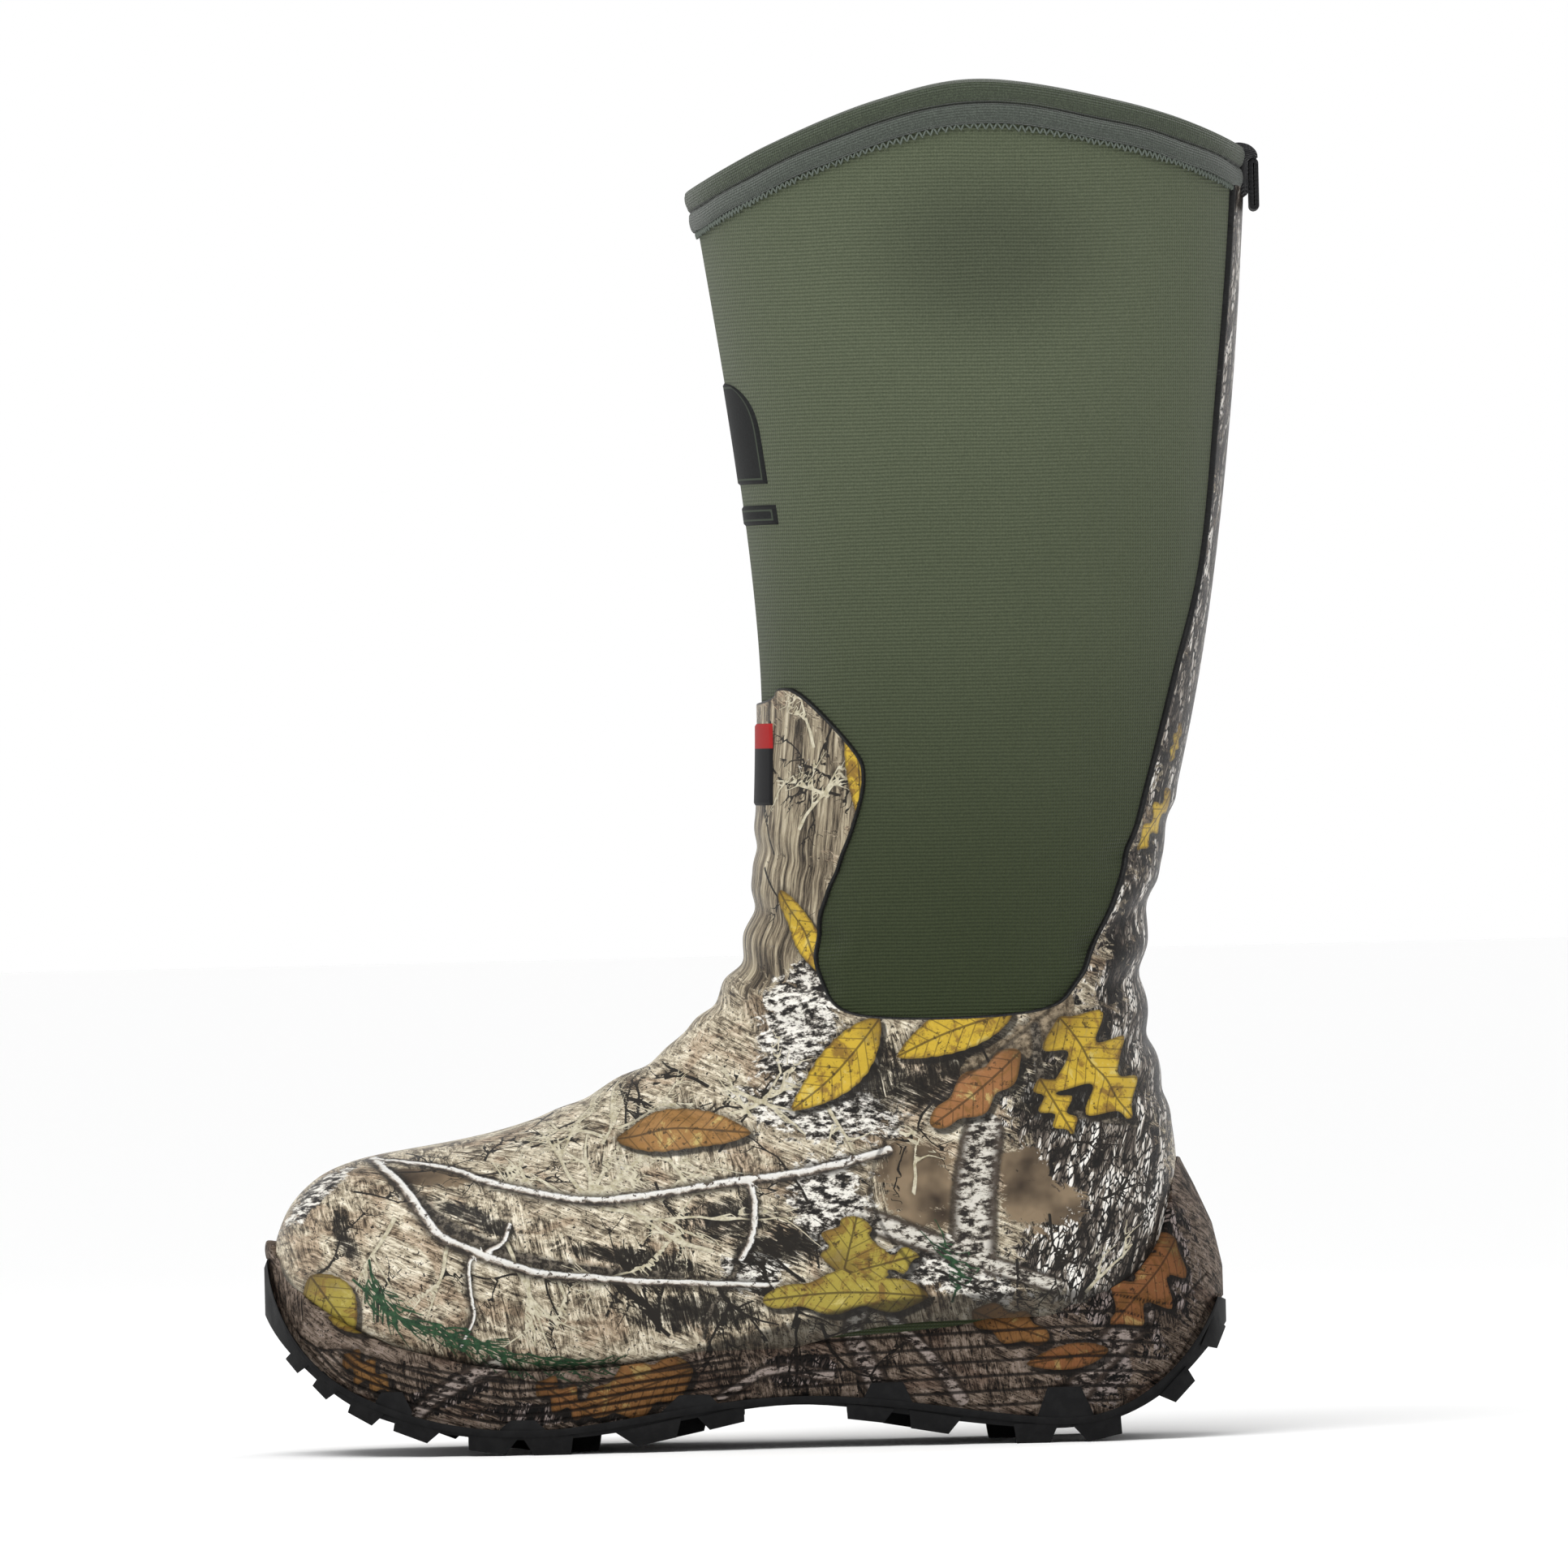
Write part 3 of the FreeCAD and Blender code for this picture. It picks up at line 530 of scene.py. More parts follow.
def lateral_print():
    rng = np.random.default_rng(7)
    leaves = [
        ("long", (38, 141), (8, 111), 15, 2, YELLOW), ("long", (82, 142), (43, 128), 14, -1.5, YELLOW),
        ("oak", (97, 140), (120, 106), 33, 0, YELLOW), ("maple", (84, 129), (54, 105), 15, 1, RUST),
        ("oak", (90, 120), (101, 101), 12, 0, YELLOW), ("maple", (24, 57), (29, 76), 21, 0, OLIVE),
        ("maple", (52, 49), (-3, 49), 15, -2, OLIVE), ("oak", (24, 57), (50, 63), 13, 0, OLIVE),
        ("long", (-152, 60), (-138, 41), 17, 0, OLIVE), ("oak", (141, 66), (113, 38), 26, 0, RUST),
        ("long", (-50, 103), (-5, 104), 14, 2, 0.6), ("long", (31, 242), (33, 206), 9, 1, YELLOW),
        ("long", (6, 184), (20, 155), 9, 1, YELLOW), ("oak", (140, 236), (136, 223), 8, 0, 0.1),
        ("oak", (136, 214), (125, 194), 13, 0, YELLOW), ("maple", (-26, 27), (-62, 15), 20, 0, 0.72),
        ("oak", (-78, 24), (-58, 12), 12, 0, 0.7), ("maple", (66, 44), (92, 34), 13, 0, 0.72),
        ("long", (112, 30), (84, 26), 8, 0, RUST), ("oak", (-146, 34), (-128, 22), 12, 0, 0.75)]
    branches = [
        ([(-131, 98), (-108, 95), (-93, 90), (-77, 86), (-59, 83), (-40, 84), (-18, 87), (14, 91),
          (39, 97)], 1.3, 1.5),
        ([(-131, 98), (-122, 90), (-116, 82), (-109, 73), (-100, 68), (-78, 60), (-62, 58), (-40, 56),
          (-2, 54)], 1.9, 0.9), ([(-6, 88), (-5, 79), (-6, 70), (-9, 64)], 1.3, 1.2),
        ([(-86, 75), (-88, 70), (-94, 67), (-99, 64), (-99, 54), (-98, 46), (-102, 37)], 0.9, 0.6)]
    trunk = [
        ([(71, 102), (68, 84), (67, 64)], 6.5, 7.5), ([(34, 74), (55, 66), (70, 60), (93, 52)], 3.8, 2.4),
        ([(30, 46), (27, 38), (34, 22)], 3.0, 4.0), ([(-122, 12), (-108, 22), (-92, 29)], 2.2, 3.2),
        ([(98, 12), (108, 26), (122, 40)], 4.0, 5.5), ([(40, 42), (52, 30), (62, 16)], 1.6, 2.4),
        ([(-16, 18), (0, 26), (18, 24)], 1.4, 2.0)]
    dark = [
        ([(-125, 94), (-109, 78), (-94, 70), (-78, 64), (-55, 60), (-30, 58)], 2.6, 1.0),
        ([(89, 136), (91, 117), (98, 109), (121, 104)], 1.5, 1.0),
        ([(-9, 66), (-14, 54), (-20, 46), (-22, 38)], 1.3, 0.6)]
    brown = [([(70, 122), (83, 131), (98, 144)], 5.0, 4.2)]
    cream = []
    for angle, length in ((2.2, 30), (1.75, 26), (1.35, 30), (0.9, 24), (2.75, 34)):
        cream += sprout(rng, (-59, 83), angle, length, 0.75, 2, 0.3)
    twigs = [
        ((-54, 81), -0.35, 48), ((-30, 72), 3.6, 34), ((-20, 66), 2.9, 40), ((-86, 92), 1.2, 10),
        ((-35, 84), 1.0, 14), ((-26, 87), 2.3, 16), ((15, 232), 1.9, 20), ((20, 215), 2.6, 22),
        ((10, 205), 1.2, 24), ((48, 84), 1.0, 18), ((105, 50), 0.9, 20), ((-70, 58), -1.2, 14)]
    for base, angle, length in twigs:
        cream += sprout(rng, base, angle, length, 0.65, 2, 0.35)
    sprigs = [
        ((-106, 70), -2.0, 26), ((-86, 69), -1.1, 36), ((-124, 78), -2.1, 26), ((-80, 60), -1.5, 24),
        ((20, 112), -1.3, 20), ((-10, 118), -0.5, 26)]
    for base, angle, length in sprigs:
        cream += sprout(rng, base, angle, length, 0.7, 1, 0.3)
    black = []
    for _ in range(13):
        black += wild(rng, (-45, 20), (38, 66), (-2.6, 2.8), (18, 34), 0.7)
    for _ in range(34):
        black += wild(rng, (-150, 130), (35, 135), (-3, 3), (12, 30), 0.5)
    for _ in range(10):
        black += wild(rng, (-8, 34), (175, 246), (-3, 3), 20, 0.5)
        z = rng.uniform(150, 400)
        base = (rng.uniform(-14, 0) + 118 + (z - 150) * 0.18, z)
        black += sprout(rng, base, rng.uniform(1, 2), 24, 0.5, 2, 0.5)
        base = (rng.uniform(-14, 4) + 122 + (z - 150) * 0.18, z)
        cream += sprout(rng, base, rng.uniform(1, 2.2), 22, 0.6, 1, 0.4)
    for _ in range(9):
        black += wild(rng, (-90, -10), (94, 122), (-0.8, 2.8), (14, 26), 0.6, 0.45)
        cream += wild(rng, (-80, -5), (92, 118), (0.2, 2.8), (14, 26), 0.6, 0.4)
    green = []
    stems = [
        [(-137, 58), (-128, 50), (-120, 44)], [(-126, 47), (-112, 41), (-98, 36)],
        [(-112, 44), (-102, 38), (-88, 32)], [(-100, 40), (-84, 31), (-66, 28)],
        [(-80, 33), (-66, 29), (-52, 29)], [(-132, 64), (-130, 54), (-124, 46)],
        [(60, 48), (62, 56), (58, 64)]]
    for line in stems:
        green += needles(rng, line)
    spots = {
        "birch": [(11, 141, 14, 22, -25), (17, 112, 26, 11, -10), (20, 81, 15, 16, 10),
            (-149, 88, 5, 20, -35), (108, 24, 12, 12, 20), (60, 56, 26, 7, -18), (-6, 58, 12, 7, 0)],
        "bark": [(112, 80, 34, 52, 22), *SPINE_BARK, (96, 60, 16, 12, 0), (-70, 14, 30, 4, 0),
            (-110, 20, 16, 5, 20), (10, 26, 14, 6, 0)],
        "tan": SHIN_WOOD,
        "blur": [(49, 86, 13, 17, 25), (86, 84, 9, 16, 20), (90, 78, 14, 8, 0), (-112, 92, 14, 5, -10)],
        "dark": [(30, 124, 16, 15, 0), (62, 122, 36, 13, 15), (96, 114, 18, 12, 0), (-14, 76, 16, 8, 0),
            (-140, 72, 4, 12, 20), (-46, 64, 30, 4, -10), (4, 66, 20, 7, 0), (148, 215, 20, 40, 0),
            (-24, 46, 24, 7, 0), (70, 130, 20, 5, 0), (-96, 78, 20, 4, -25), *SPINE_SHADE]}
    return leaves, branches, trunk, dark, brown, cream, black, green, spots


def medial_print():
    """The inner side of the boot shows another part of the same kind of woodland."""
    rng = np.random.default_rng(21)
    leaves = []
    spread = [
        (-118, 70, 2.2, 30, "oak", YELLOW), (-104, 62, 0.4, 20, "long", OLIVE),
        (-74, 88, 3.6, 24, "maple", RUST), (-22, 52, 0.5, 36, "oak", YELLOW),
        (-6, 66, 1.9, 24, "maple", OLIVE), (14, 126, 4.0, 34, "long", YELLOW),
        (34, 132, 5.6, 26, "oak", RUST), (84, 118, 0.9, 38, "oak", YELLOW),
        (74, 108, 4.6, 22, "long", RUST), (120, 76, 4.4, 28, "maple", 0.5),
        (24, 236, 4.9, 34, "long", YELLOW), (2, 176, 1.0, 22, "maple", RUST),
        (136, 212, 1.9, 26, "oak", YELLOW), (152, 300, 1.4, 22, "long", OLIVE),
        (62, 46, 2.7, 30, "maple", YELLOW), (-152, 58, 5.8, 20, "long", OLIVE),
        (-96, 116, 0.2, 20, "oak", RUST), (-40, 122, 2.4, 22, "long", 0.5),
        (-34, 98, 0.4, 30, "long", RUST)]
    for x, z, turn, size, kind, tone in spread:
        tip = (x + size * math.cos(turn), z + size * math.sin(turn))
        leaves.append((kind, (x, z), tip, size * (0.42 if kind == "long" else 0.78), 1.0, tone))
    branches = [
        ([(-140, 70), (-100, 78), (-60, 70), (-20, 76), (20, 96), (60, 100)], 2.2, 1.2),
        ([(-60, 70), (-40, 56), (-10, 48), (30, 50)], 1.8, 0.9),
        ([(120, 140), (96, 110), (84, 80), (80, 50)], 3.6, 3.0)]
    trunk = [([(40, 112), (36, 84), (38, 48)], 8.0, 9.0)]
    dark = [
        ([(-110, 100), (-80, 84), (-50, 86), (-20, 96)], 2.4, 1.0),
        ([(90, 134), (100, 112), (124, 100)], 1.5, 0.9)]
    cream, black = [], []
    for _ in range(30):
        cream += wild(rng, (-150, 130), (36, 140), (-3, 3), (14, 34), 0.65, 0.4)
        black += wild(rng, (-110, 0), (100, 140), (-3, 3), (12, 24), 0.55)
    for _ in range(60):
        black += wild(rng, (-150, 130), (36, 140), (-3, 3), (12, 30), 0.55)
    for _ in range(10):
        z = rng.uniform(150, 400)
        base = (rng.uniform(-14, 4) + 122 + (z - 150) * 0.18, z)
        cream += sprout(rng, base, rng.uniform(1, 2.2), 22, 0.6, 1, 0.4)
        black += wild(rng, (-8, 34), (175, 246), (-3, 3), 20, 0.5)
    green = []
    stems = [
        [(-130, 56), (-116, 46), (-100, 38)], [(-40, 40), (-24, 36), (-8, 40)],
        [(60, 50), (72, 56), (90, 54)]]
    for line in stems:
        green += needles(rng, line)
    spots = {
        "birch": [(10, 130, 18, 16, 0), (-50, 78, 14, 20, 20), (110, 60, 12, 16, 0), (-149, 88, 5, 20, -35)],
        "bark": [(118, 96, 24, 40, 10), *SPINE_BARK, (-6, 58, 18, 12, 0)],
        "tan": SHIN_WOOD,
        "blur": [(64, 80, 14, 14, 0), (-90, 66, 12, 12, 0)],
        "dark": [(30, 100, 30, 16, 0), (-110, 84, 22, 10, 0), (86, 64, 18, 16, 0), (-30, 92, 30, 8, 10),
            (60, 128, 34, 8, 0), (-60, 46, 34, 6, 0), (-84, 112, 22, 7, -14), (-50, 122, 20, 8, -25),
            (-24, 140, 20, 7, -40), *SPINE_SHADE]}
    return leaves, branches, trunk, dark, [], cream, black, green, spots


def print_attributes(q, y, on_skin=True):
    """Attributes that draw the print at unrolled points q; y tells the side."""
    sides = []
    for maker in (lateral_print, medial_print):
        leaves, *handmade, cream, black, green, spots = maker()
        handmade = [[(curve(line), a, b) for line, a, b in lines] for lines in handmade]
        if on_skin and maker is lateral_print:
            leaves = [(k, unroll(b)[0], unroll(t)[0], w, s, c) for k, b, t, w, s, c in leaves]
            handmade = [[(unroll(line), a, b) for line, a, b in lines] for lines in handmade]
            spots = {key: [(*unroll(s[:2])[0], *s[2:]) for s in places] for key, places in spots.items()}
        part = dict(zip(("leaf_d", "leaf_a", "leaf_b", "leaf_c"), leaf_fields(q, leaves)))
        part["leaf_s"] = leaf_fields(q + SHADOW, leaves, 3.0)[0]
        for key, lines in zip(("br", "tr", "dk", "bb", "cr", "bk", "gr"), (*handmade, cream, black, green)):
            part[key + "_s"], part[key + "_d"] = stroke_fields(q, lines)
        for key, places in spots.items():
            part["z_" + key] = blob(q, places)
        sides.append(part)
    return {key: np.where(y > 0, sides[1][key], sides[0][key]) for key in sides[0]}


# ---- materials ----
class Value:
    """A number made by a node, which takes part in ordinary sums."""

    def __init__(self, mat, socket):
        self.mat, self.socket = mat, socket

    def __add__(self, other):
        return self.mat.math("ADD", self, other)

    def __sub__(self, other):
        return self.mat.math("SUBTRACT", self, other)

    def __rsub__(self, other):
        return self.mat.math("SUBTRACT", other, self)

    def __mul__(self, other):
        return self.mat.math("MULTIPLY", self, other)

    def __abs__(self):
        return self.mat.math("ABSOLUTE", self)


class Mat:
    """Short ways to build one material's nodes."""

    def __init__(self, name, **settings):
        self.material = bpy.data.materials.new(name)
        self.material.use_nodes = True
        self.tree = self.material.node_tree
        self.tree.nodes.clear()
        out = self.tree.nodes.new("ShaderNodeOutputMaterial")
        self.shader = self.new("BsdfPrincipled")
        self.tree.links.new(self.shader.outputs[0], out.inputs[0])
        self.unrolled = None
        self.set(**settings)

    def set(self, **settings):
        for key, value in settings.items():
            self.put(self.shader.inputs[key.replace("_", " ")], value)

    def new(self, kind, **props):
        node = self.tree.nodes.new("ShaderNode" + kind)
        for key, value in props.items():
            setattr(node, key, value)
        return node

    def put(self, socket, value):
        if isinstance(value, Value):
            value = value.socket
        if isinstance(value, bpy.types.NodeSocket):
            self.tree.links.new(value, socket)
        elif isinstance(value, tuple) and len(value) == 3 and socket.type == "RGBA":
            socket.default_value = (*value, 1)
        else:
            socket.default_value = value

    def node(self, kind, inputs, out=0, **props):
        """One output of a new node whose inputs are set by name."""
        node = self.new(kind, **props)
        for key, value in inputs.items():
            self.put(node.inputs[key], value)
        return node.outputs[out]

    def attr(self, name):
        return Value(self, self.node("Attribute", {}, "Fac", attribute_name=name))

    def place(self):
        """The point's place in mm, unrolled where the piece has a print."""
        if self.unrolled is None:
            self.unrolled = self.node("Attribute", {}, "Vector", attribute_name="pu")
        return self.unrolled

    def height(self):
        return Value(self, self.node("SeparateXYZ", {0: self.place()}, 1))

    def math(self, op, a, b=0.0, c=0.0):
        return Value(self, self.node("Math", {0: a, 1: b, 2: c}, operation=op))

    def wave(self, value, pitch):
        return self.math("SINE", value * (2 * math.pi / pitch))

    def vec(self, stretch, turn=0.0):
        """The place turned about its third axis by degrees and then scaled, for stretched noise."""
        turned = self.node("Mapping", {"Vector": self.place(), "Rotation": (0, 0, math.radians(turn))},
                           vector_type="POINT")
        scale = stretch if isinstance(stretch, tuple) else (stretch,) * 3
        return self.node("VectorMath", {0: turned, 1: scale}, operation="MULTIPLY")

    def noise(self, vector, scale=1.0, detail=3.0, rough=0.55, twist=0.0):
        return Value(self, self.node("TexNoise", {"Vector": vector, "Scale": scale, "Detail": detail,
                                                  "Roughness": rough, "Distortion": twist}))

    def grain(self, stretch, turn=0.0, detail=3.0, rough=0.55, twist=0.0):
        return self.noise(self.vec(stretch, turn), 1.0, detail, rough, twist)

    def cells(self, vector):
        """Distance to the nearest border of irregular cells."""
        return Value(self, self.node("TexVoronoi", {"Vector": vector}, "Distance",
                                     feature="DISTANCE_TO_EDGE"))

    def ramp(self, fac, *stops):
        node = self.new("ValToRGB")
        elements = node.color_ramp.elements
        while len(elements) < len(stops):
            elements.new(0.5)
        for element, (at, colour) in zip(elements, stops):
            element.position = at
            element.color = (*colour, 1)
        self.put(node.inputs[0], fac)
        return node.outputs[0]

    def mask(self, value, a, b):
        """1 where value is on a's side, 0 beyond b, whichever of the two is larger."""
        limits = {"Value": value, "From Min": a, "From Max": b, "To Min": 1.0, "To Max": 0.0}
        return Value(self, self.node("MapRange", limits, interpolation_type="SMOOTHSTEP"))

    def mix(self, fac, a, b, mode="MIX"):
        """Colour a where fac is 0 and b where it is 1."""
        node = self.new("Mix", data_type="RGBA", blend_type=mode)
        for key, v in (("Factor", fac), ("A", a), ("B", b)):
            sockets = [s for s in node.inputs if s.name == key and (s.type == "RGBA" or key == "Factor")]
            self.put(sockets[0], v)
        return [s for s in node.outputs if s.type == "RGBA"][0]

    def tint(self, colour, by):
        return self.mix(1.0, colour, by, "MULTIPLY")

    def contrast(self, colour, gamma, saturation, gain):
        curved = self.node("Gamma", {"Color": colour, "Gamma": gamma})
        return self.tint(self.node("HueSaturation", {"Color": curved, "Saturation": saturation}), gain)

    def bump(self, height, distance, strength):
        return self.node("Bump", {"Height": height, "Distance": distance, "Strength": strength})


INK = (0.012, 0.009, 0.007)
# near-black for the painted shade along the sole line and for the print's leaf shadows
SHADE_BLACK = (0.01, 0.008, 0.006)
BROWN_INK = (0.045, 0.026, 0.009)


def ground(m, patchy, fine, sole):
    """The print's ground: dry grass with zones of bark, birch, bare wood, blur and gloom."""
    mass = m.grain((0.022, 0.03, 0.02), 0, 3, 0.5)
    slant = m.grain((0.09, 0.75, 0.3), 24, 7, 0.78, 1.3)
    upright = m.grain((0.6, 0.08, 0.3), -12, 7, 0.78, 1.3)
    pick = m.mask(mass, 0.44, 0.5)
    both = slant * (1.0 - pick) + upright * pick
    tone = both * 0.6 + patchy * 0.35 + mass * 0.12
    grass = m.ramp(tone, (0.415, INK), (0.465, (0.115, 0.086, 0.052)), (0.51, (0.32, 0.262, 0.165)),
                   (0.56, (0.6, 0.53, 0.38)), (0.63, (0.8, 0.75, 0.62)))
    colour = m.mix(m.mask(fine, 0.36, 0.42), grass, (0.045, 0.032, 0.02))
    warm = m.mask(m.grain((0.035, 0.06, 0.05), 20, 4, 0.6, 0.8), 0.62, 0.5)
    colour = m.mix(warm * 0.55, colour, m.tint(colour, (0.62, 0.44, 0.28)))

    # bark: flaking plates with dark cracks between them
    warp = m.tint(m.grain((0.12, 0.06, 0.1)), (0.9, 0.9, 0.9))
    plates = m.cells(m.node("VectorMath", {0: m.vec((0.17, 0.05, 0.1), 16), 1: warp}, operation="ADD"))
    flakes = m.grain((0.2, 0.05, 0.3), 14, 5, 0.62, 1.2) + m.mask(m.height(), 90.0, 130.0) * 0.04
    bark = m.ramp(flakes, (0.4, INK), (0.46, (0.07, 0.054, 0.042)), (0.505, (0.15, 0.12, 0.095)),
                  (0.545, (0.32, 0.275, 0.225)), (0.585, (0.68, 0.645, 0.59)), (0.66, (0.82, 0.8, 0.76)))
    bark = m.mix(m.mask(plates, 0.05, 0.15), bark, (0.02, 0.015, 0.011))
    specks = m.grain((0.26, 0.5, 0.3), 0, 6, 0.72)
    birch = m.ramp(specks, (0.44, (0.02, 0.016, 0.014)), (0.49, (0.26, 0.235, 0.2)),
                   (0.54, (0.72, 0.7, 0.64)), (0.7, (0.82, 0.8, 0.75)))
    slats = m.grain((0.55, 0.035, 0.2), 6, 8, 0.74, 0.25)
    tan = m.ramp(slats, (0.4, (0.05, 0.036, 0.022)), (0.49, (0.24, 0.19, 0.115)), (0.58, (0.45, 0.385, 0.25)),
                 (0.7, (0.66, 0.6, 0.45)))
    blur = m.ramp(m.grain(0.05), (0.35, (0.075, 0.048, 0.024)), (0.6, (0.3, 0.215, 0.11)))
    for key, paint in (("tan", tan), ("bark", bark), ("blur", blur), ("birch", birch)):
        ragged = m.attr("z_" + key) + (patchy - 0.5) * 2.6
        colour = m.mix(m.mask(ragged, 0.62, 0.42), colour, paint)
    gloom = m.attr("z_dark") + (tone - 0.53) * -5.0
    colour = m.mix(m.mask(gloom, 0.95, 0.35) * 0.92, colour, (0.018, 0.014, 0.01))
    if sole:
        return m.contrast(colour, 1.7, 0.6, (0.74, 0.7, 0.7)), birch
    return m.contrast(colour, 1.32, 0.74, (1.3, 1.29, 1.28)), birch


def leaf_paint(m, mottle, d):
    """The leaves' own colours: worn blades, darker stalk ends, ribs and rims."""
    la, wide = m.attr("leaf_a"), abs(m.attr("leaf_b"))
    leaf = m.ramp(m.attr("leaf_c"), (0.0, (0.62, 0.42, 0.04)), (0.33, (0.4, 0.32, 0.055)),
                  (0.66, (0.34, 0.15, 0.055)), (1.0, (0.24, 0.24, 0.055)))
    worn = m.grain((0.12, 0.12, 0.1), 0, 6, 0.72, 0.6)
    leaf = m.mix(m.mask(worn, 0.62, 0.5) * 0.8, leaf, (0.2, 0.1, 0.025))
    leaf = m.mix(m.mask(worn, 0.34, 0.44) * 0.6, leaf, (0.7, 0.6, 0.22))
    stalk = la + (worn - 0.5) * 30.0
    leaf = m.mix(m.mask(stalk, 0.0, 11.0) * 0.7, leaf, (0.11, 0.055, 0.016))
    leaf = m.mix(m.mask(mottle, 0.36, 0.43) * 0.85, leaf, BROWN_INK)
    ribs = m.math("PINGPONG", m.math("MULTIPLY_ADD", wide, -0.85, la), 2.1)
    veins = m.math("MAXIMUM", m.mask(wide, 0.22, 0.5), m.mask(ribs, 0.12, 0.42) * 0.75)
    leaf = m.mix(veins * 0.75, leaf, (0.045, 0.026, 0.01))
    return m.mix(m.mask(d * -1.0, 0.1, 1.1) * 0.6, leaf, (0.08, 0.045, 0.012))


def camo(name, rough, sole=False):
    """Printed woodland rubber: dry grass, bark, birch, branches, twigs and leaves."""
    m = Mat(name, Roughness=rough, Specular_IOR_Level=0.15 if sole else 0.26)
    a = m.attr
    patchy = m.grain((0.16, 0.22, 0.2), 20, 5, 0.7, 0.8)
    fine = m.grain(0.9, 0, 4, 0.65)
    mottle = m.grain((0.45, 0.45, 0.3), 0, 5, 0.7)
    colour, birch = ground(m, patchy, fine, sole)

    def stroke(key, paint, soft=0.15, shade=0.55, reach=1.6):
        """Paints the strokes of one kind over a soft dark rim."""
        rag = (patchy - 0.5) * (soft * 6)
        d, across = a(key + "_d") + rag, abs(a(key + "_s")) + rag
        under = m.mix(m.mask(d, 0.0, reach) * shade, colour, (0.012, 0.009, 0.006))
        return m.mix(m.mask(across, 0.75, 1.2) * m.mask(d, 0.7, 1.1), under, paint)

    colour = stroke("bb", m.ramp(mottle, (0.4, (0.07, 0.05, 0.03)), (0.6, (0.34, 0.27, 0.18))), 0.3)
    wood = (0.7, 0.66, 0.64) if sole else (0.95, 0.93, 0.9)
    trunk = m.mix(m.mask(abs(a("tr_s")), 1.0, 0.45), m.tint(birch, wood), (0.07, 0.053, 0.04))
    colour = stroke("tr", trunk, 0.2, 0.85, 1.8)
    colour = stroke("dk", m.ramp(mottle, (0.45, (0.02, 0.016, 0.012)), (0.62, (0.2, 0.17, 0.13))), 0.3)
    colour = stroke("bk", (0.014, 0.011, 0.008), 0.12, 0.0)
    colour = stroke("cr", m.ramp(mottle, (0.35, (0.4, 0.35, 0.22)), (0.6, (0.7, 0.65, 0.5))), 0.12, 0.35, 0.8)
    lit = a("br_s") + (patchy - 0.5) * 3.0
    white = m.ramp(m.math("MULTIPLY_ADD", lit, 0.5, 0.5), (0.16, (0.03, 0.024, 0.019)),
                   (0.34, (0.26, 0.21, 0.165)), (0.5, (0.74, 0.71, 0.65)), (0.9, (0.88, 0.87, 0.84)))
    white = m.mix(m.mask(mottle, 0.38, 0.44), white, (0.09, 0.07, 0.055))
    colour = stroke("br", white, 0.22, 0.8, 2.4)
    moss = m.ramp(mottle, (0.4, (0.008, 0.032, 0.014)), (0.6, (0.03, 0.09, 0.036)))
    colour = stroke("gr", moss, 0.12, 0.3, 0.8)

    d = a("leaf_d")
    colour = m.mix(m.mask(d, 0.1, 2.4) * 0.5, colour, (0.014, 0.01, 0.007))
    colour = m.mix(m.mask(a("leaf_s"), -0.1, 0.7) * 0.85, colour, SHADE_BLACK)
    colour = m.mix(m.mask(d, -0.12, 0.15), colour, leaf_paint(m, mottle, d))
    pores = m.mask(m.cells(m.vec(0.75)), 0.0, 0.12) * -0.6 + fine
    if sole:
        colour = m.tint(colour, (0.62, 0.56, 0.56))
        # painted shade: the grooves and panel lines are darkened where shade falls in them
        near = m.math("PINGPONG", a("gz"), 0.5) * a("gs")
        groove = m.mask(near, 0.25, 0.75) * a("gk")
        groove = m.math("MAXIMUM", groove, m.mask(abs(a("pl")), 0.2, 0.75))
        colour = m.mix(groove * 0.85, colour, (0.01, 0.008, 0.007))
        teeth = m.math("SINE", a("run") * 6.6) * (a("gk") * 0.35)
        height = pores - groove * 1.6 + teeth
    else:
        # painted shade: darker near the sole line, where the upper meets the midsole wall
        colour = m.mix(m.mask(a("sole_d"), 0.4, 2.4) * 0.8, colour, SHADE_BLACK)
        # painted shade: a dark line in the groove at the foot of the heel ledge
        ledge = m.mask(abs(a("seam") + 1.3), 0.25, 1.1)
        colour = m.mix(ledge * 0.6, colour, INK)
        colour = m.mix(m.mask(a("edge"), 0.75, 1.0), colour, (0.01, 0.01, 0.01))
        height = pores * 0.6 + m.grain((0.1, 0.16, 0.1), -30, 3, 0.5, 1.2) * 1.6
    m.set(Base_Color=colour, Normal=m.bump(height, 0.0005, 0.7))
    m.set(Roughness=m.math("MULTIPLY_ADD", fine, 0.25, rough - 0.12))
    return m.material


def knit(name, low, high, blotch=None, pitch=1.25):
    """Fine horizontal knit, from colour low at the ankle to high at the collar as painted shade and light,
    with one soft darker patch.
    """
    m = Mat(name, Roughness=0.95, Sheen_Weight=0.12, Sheen_Roughness=0.5, Specular_IOR_Level=0.2)
    x, z = Value(m, m.node("SeparateXYZ", {0: m.place()})), m.height()
    slow = m.grain(0.012, 0, 2)
    rows = m.wave(z + slow * 3.0, pitch)
    loops = m.wave(m.attr("around") + rows * 0.12, pitch * 0.8)
    fuzz = m.grain(2.0, 0, 3, 0.7)
    # painted shade and light: the knit darkens towards the ankle and lightens towards the collar
    colour = m.mix(m.mask(z + slow * 60.0, 150.0, 420.0), high, low)
    if blotch:
        px, pz = (x - blotch[0]) * (1 / blotch[2]), (z - blotch[1]) * (1 / blotch[3])
        r = m.math("SQRT", px * px + pz * pz)
        colour = m.mix(m.mask(r, 0.2, 1.2) * 0.4, colour, (0.035, 0.04, 0.026))
    speck = m.mask(rows * 0.06 + fuzz * 0.5, 0.38, 0.1)
    colour = m.mix(speck, colour, m.tint(colour, (0.55, 0.58, 0.55)))
    m.set(Base_Color=colour, Normal=m.bump(rows + (loops * 0.45 + fuzz * 0.8), 0.00022, 0.8))
    return m.material


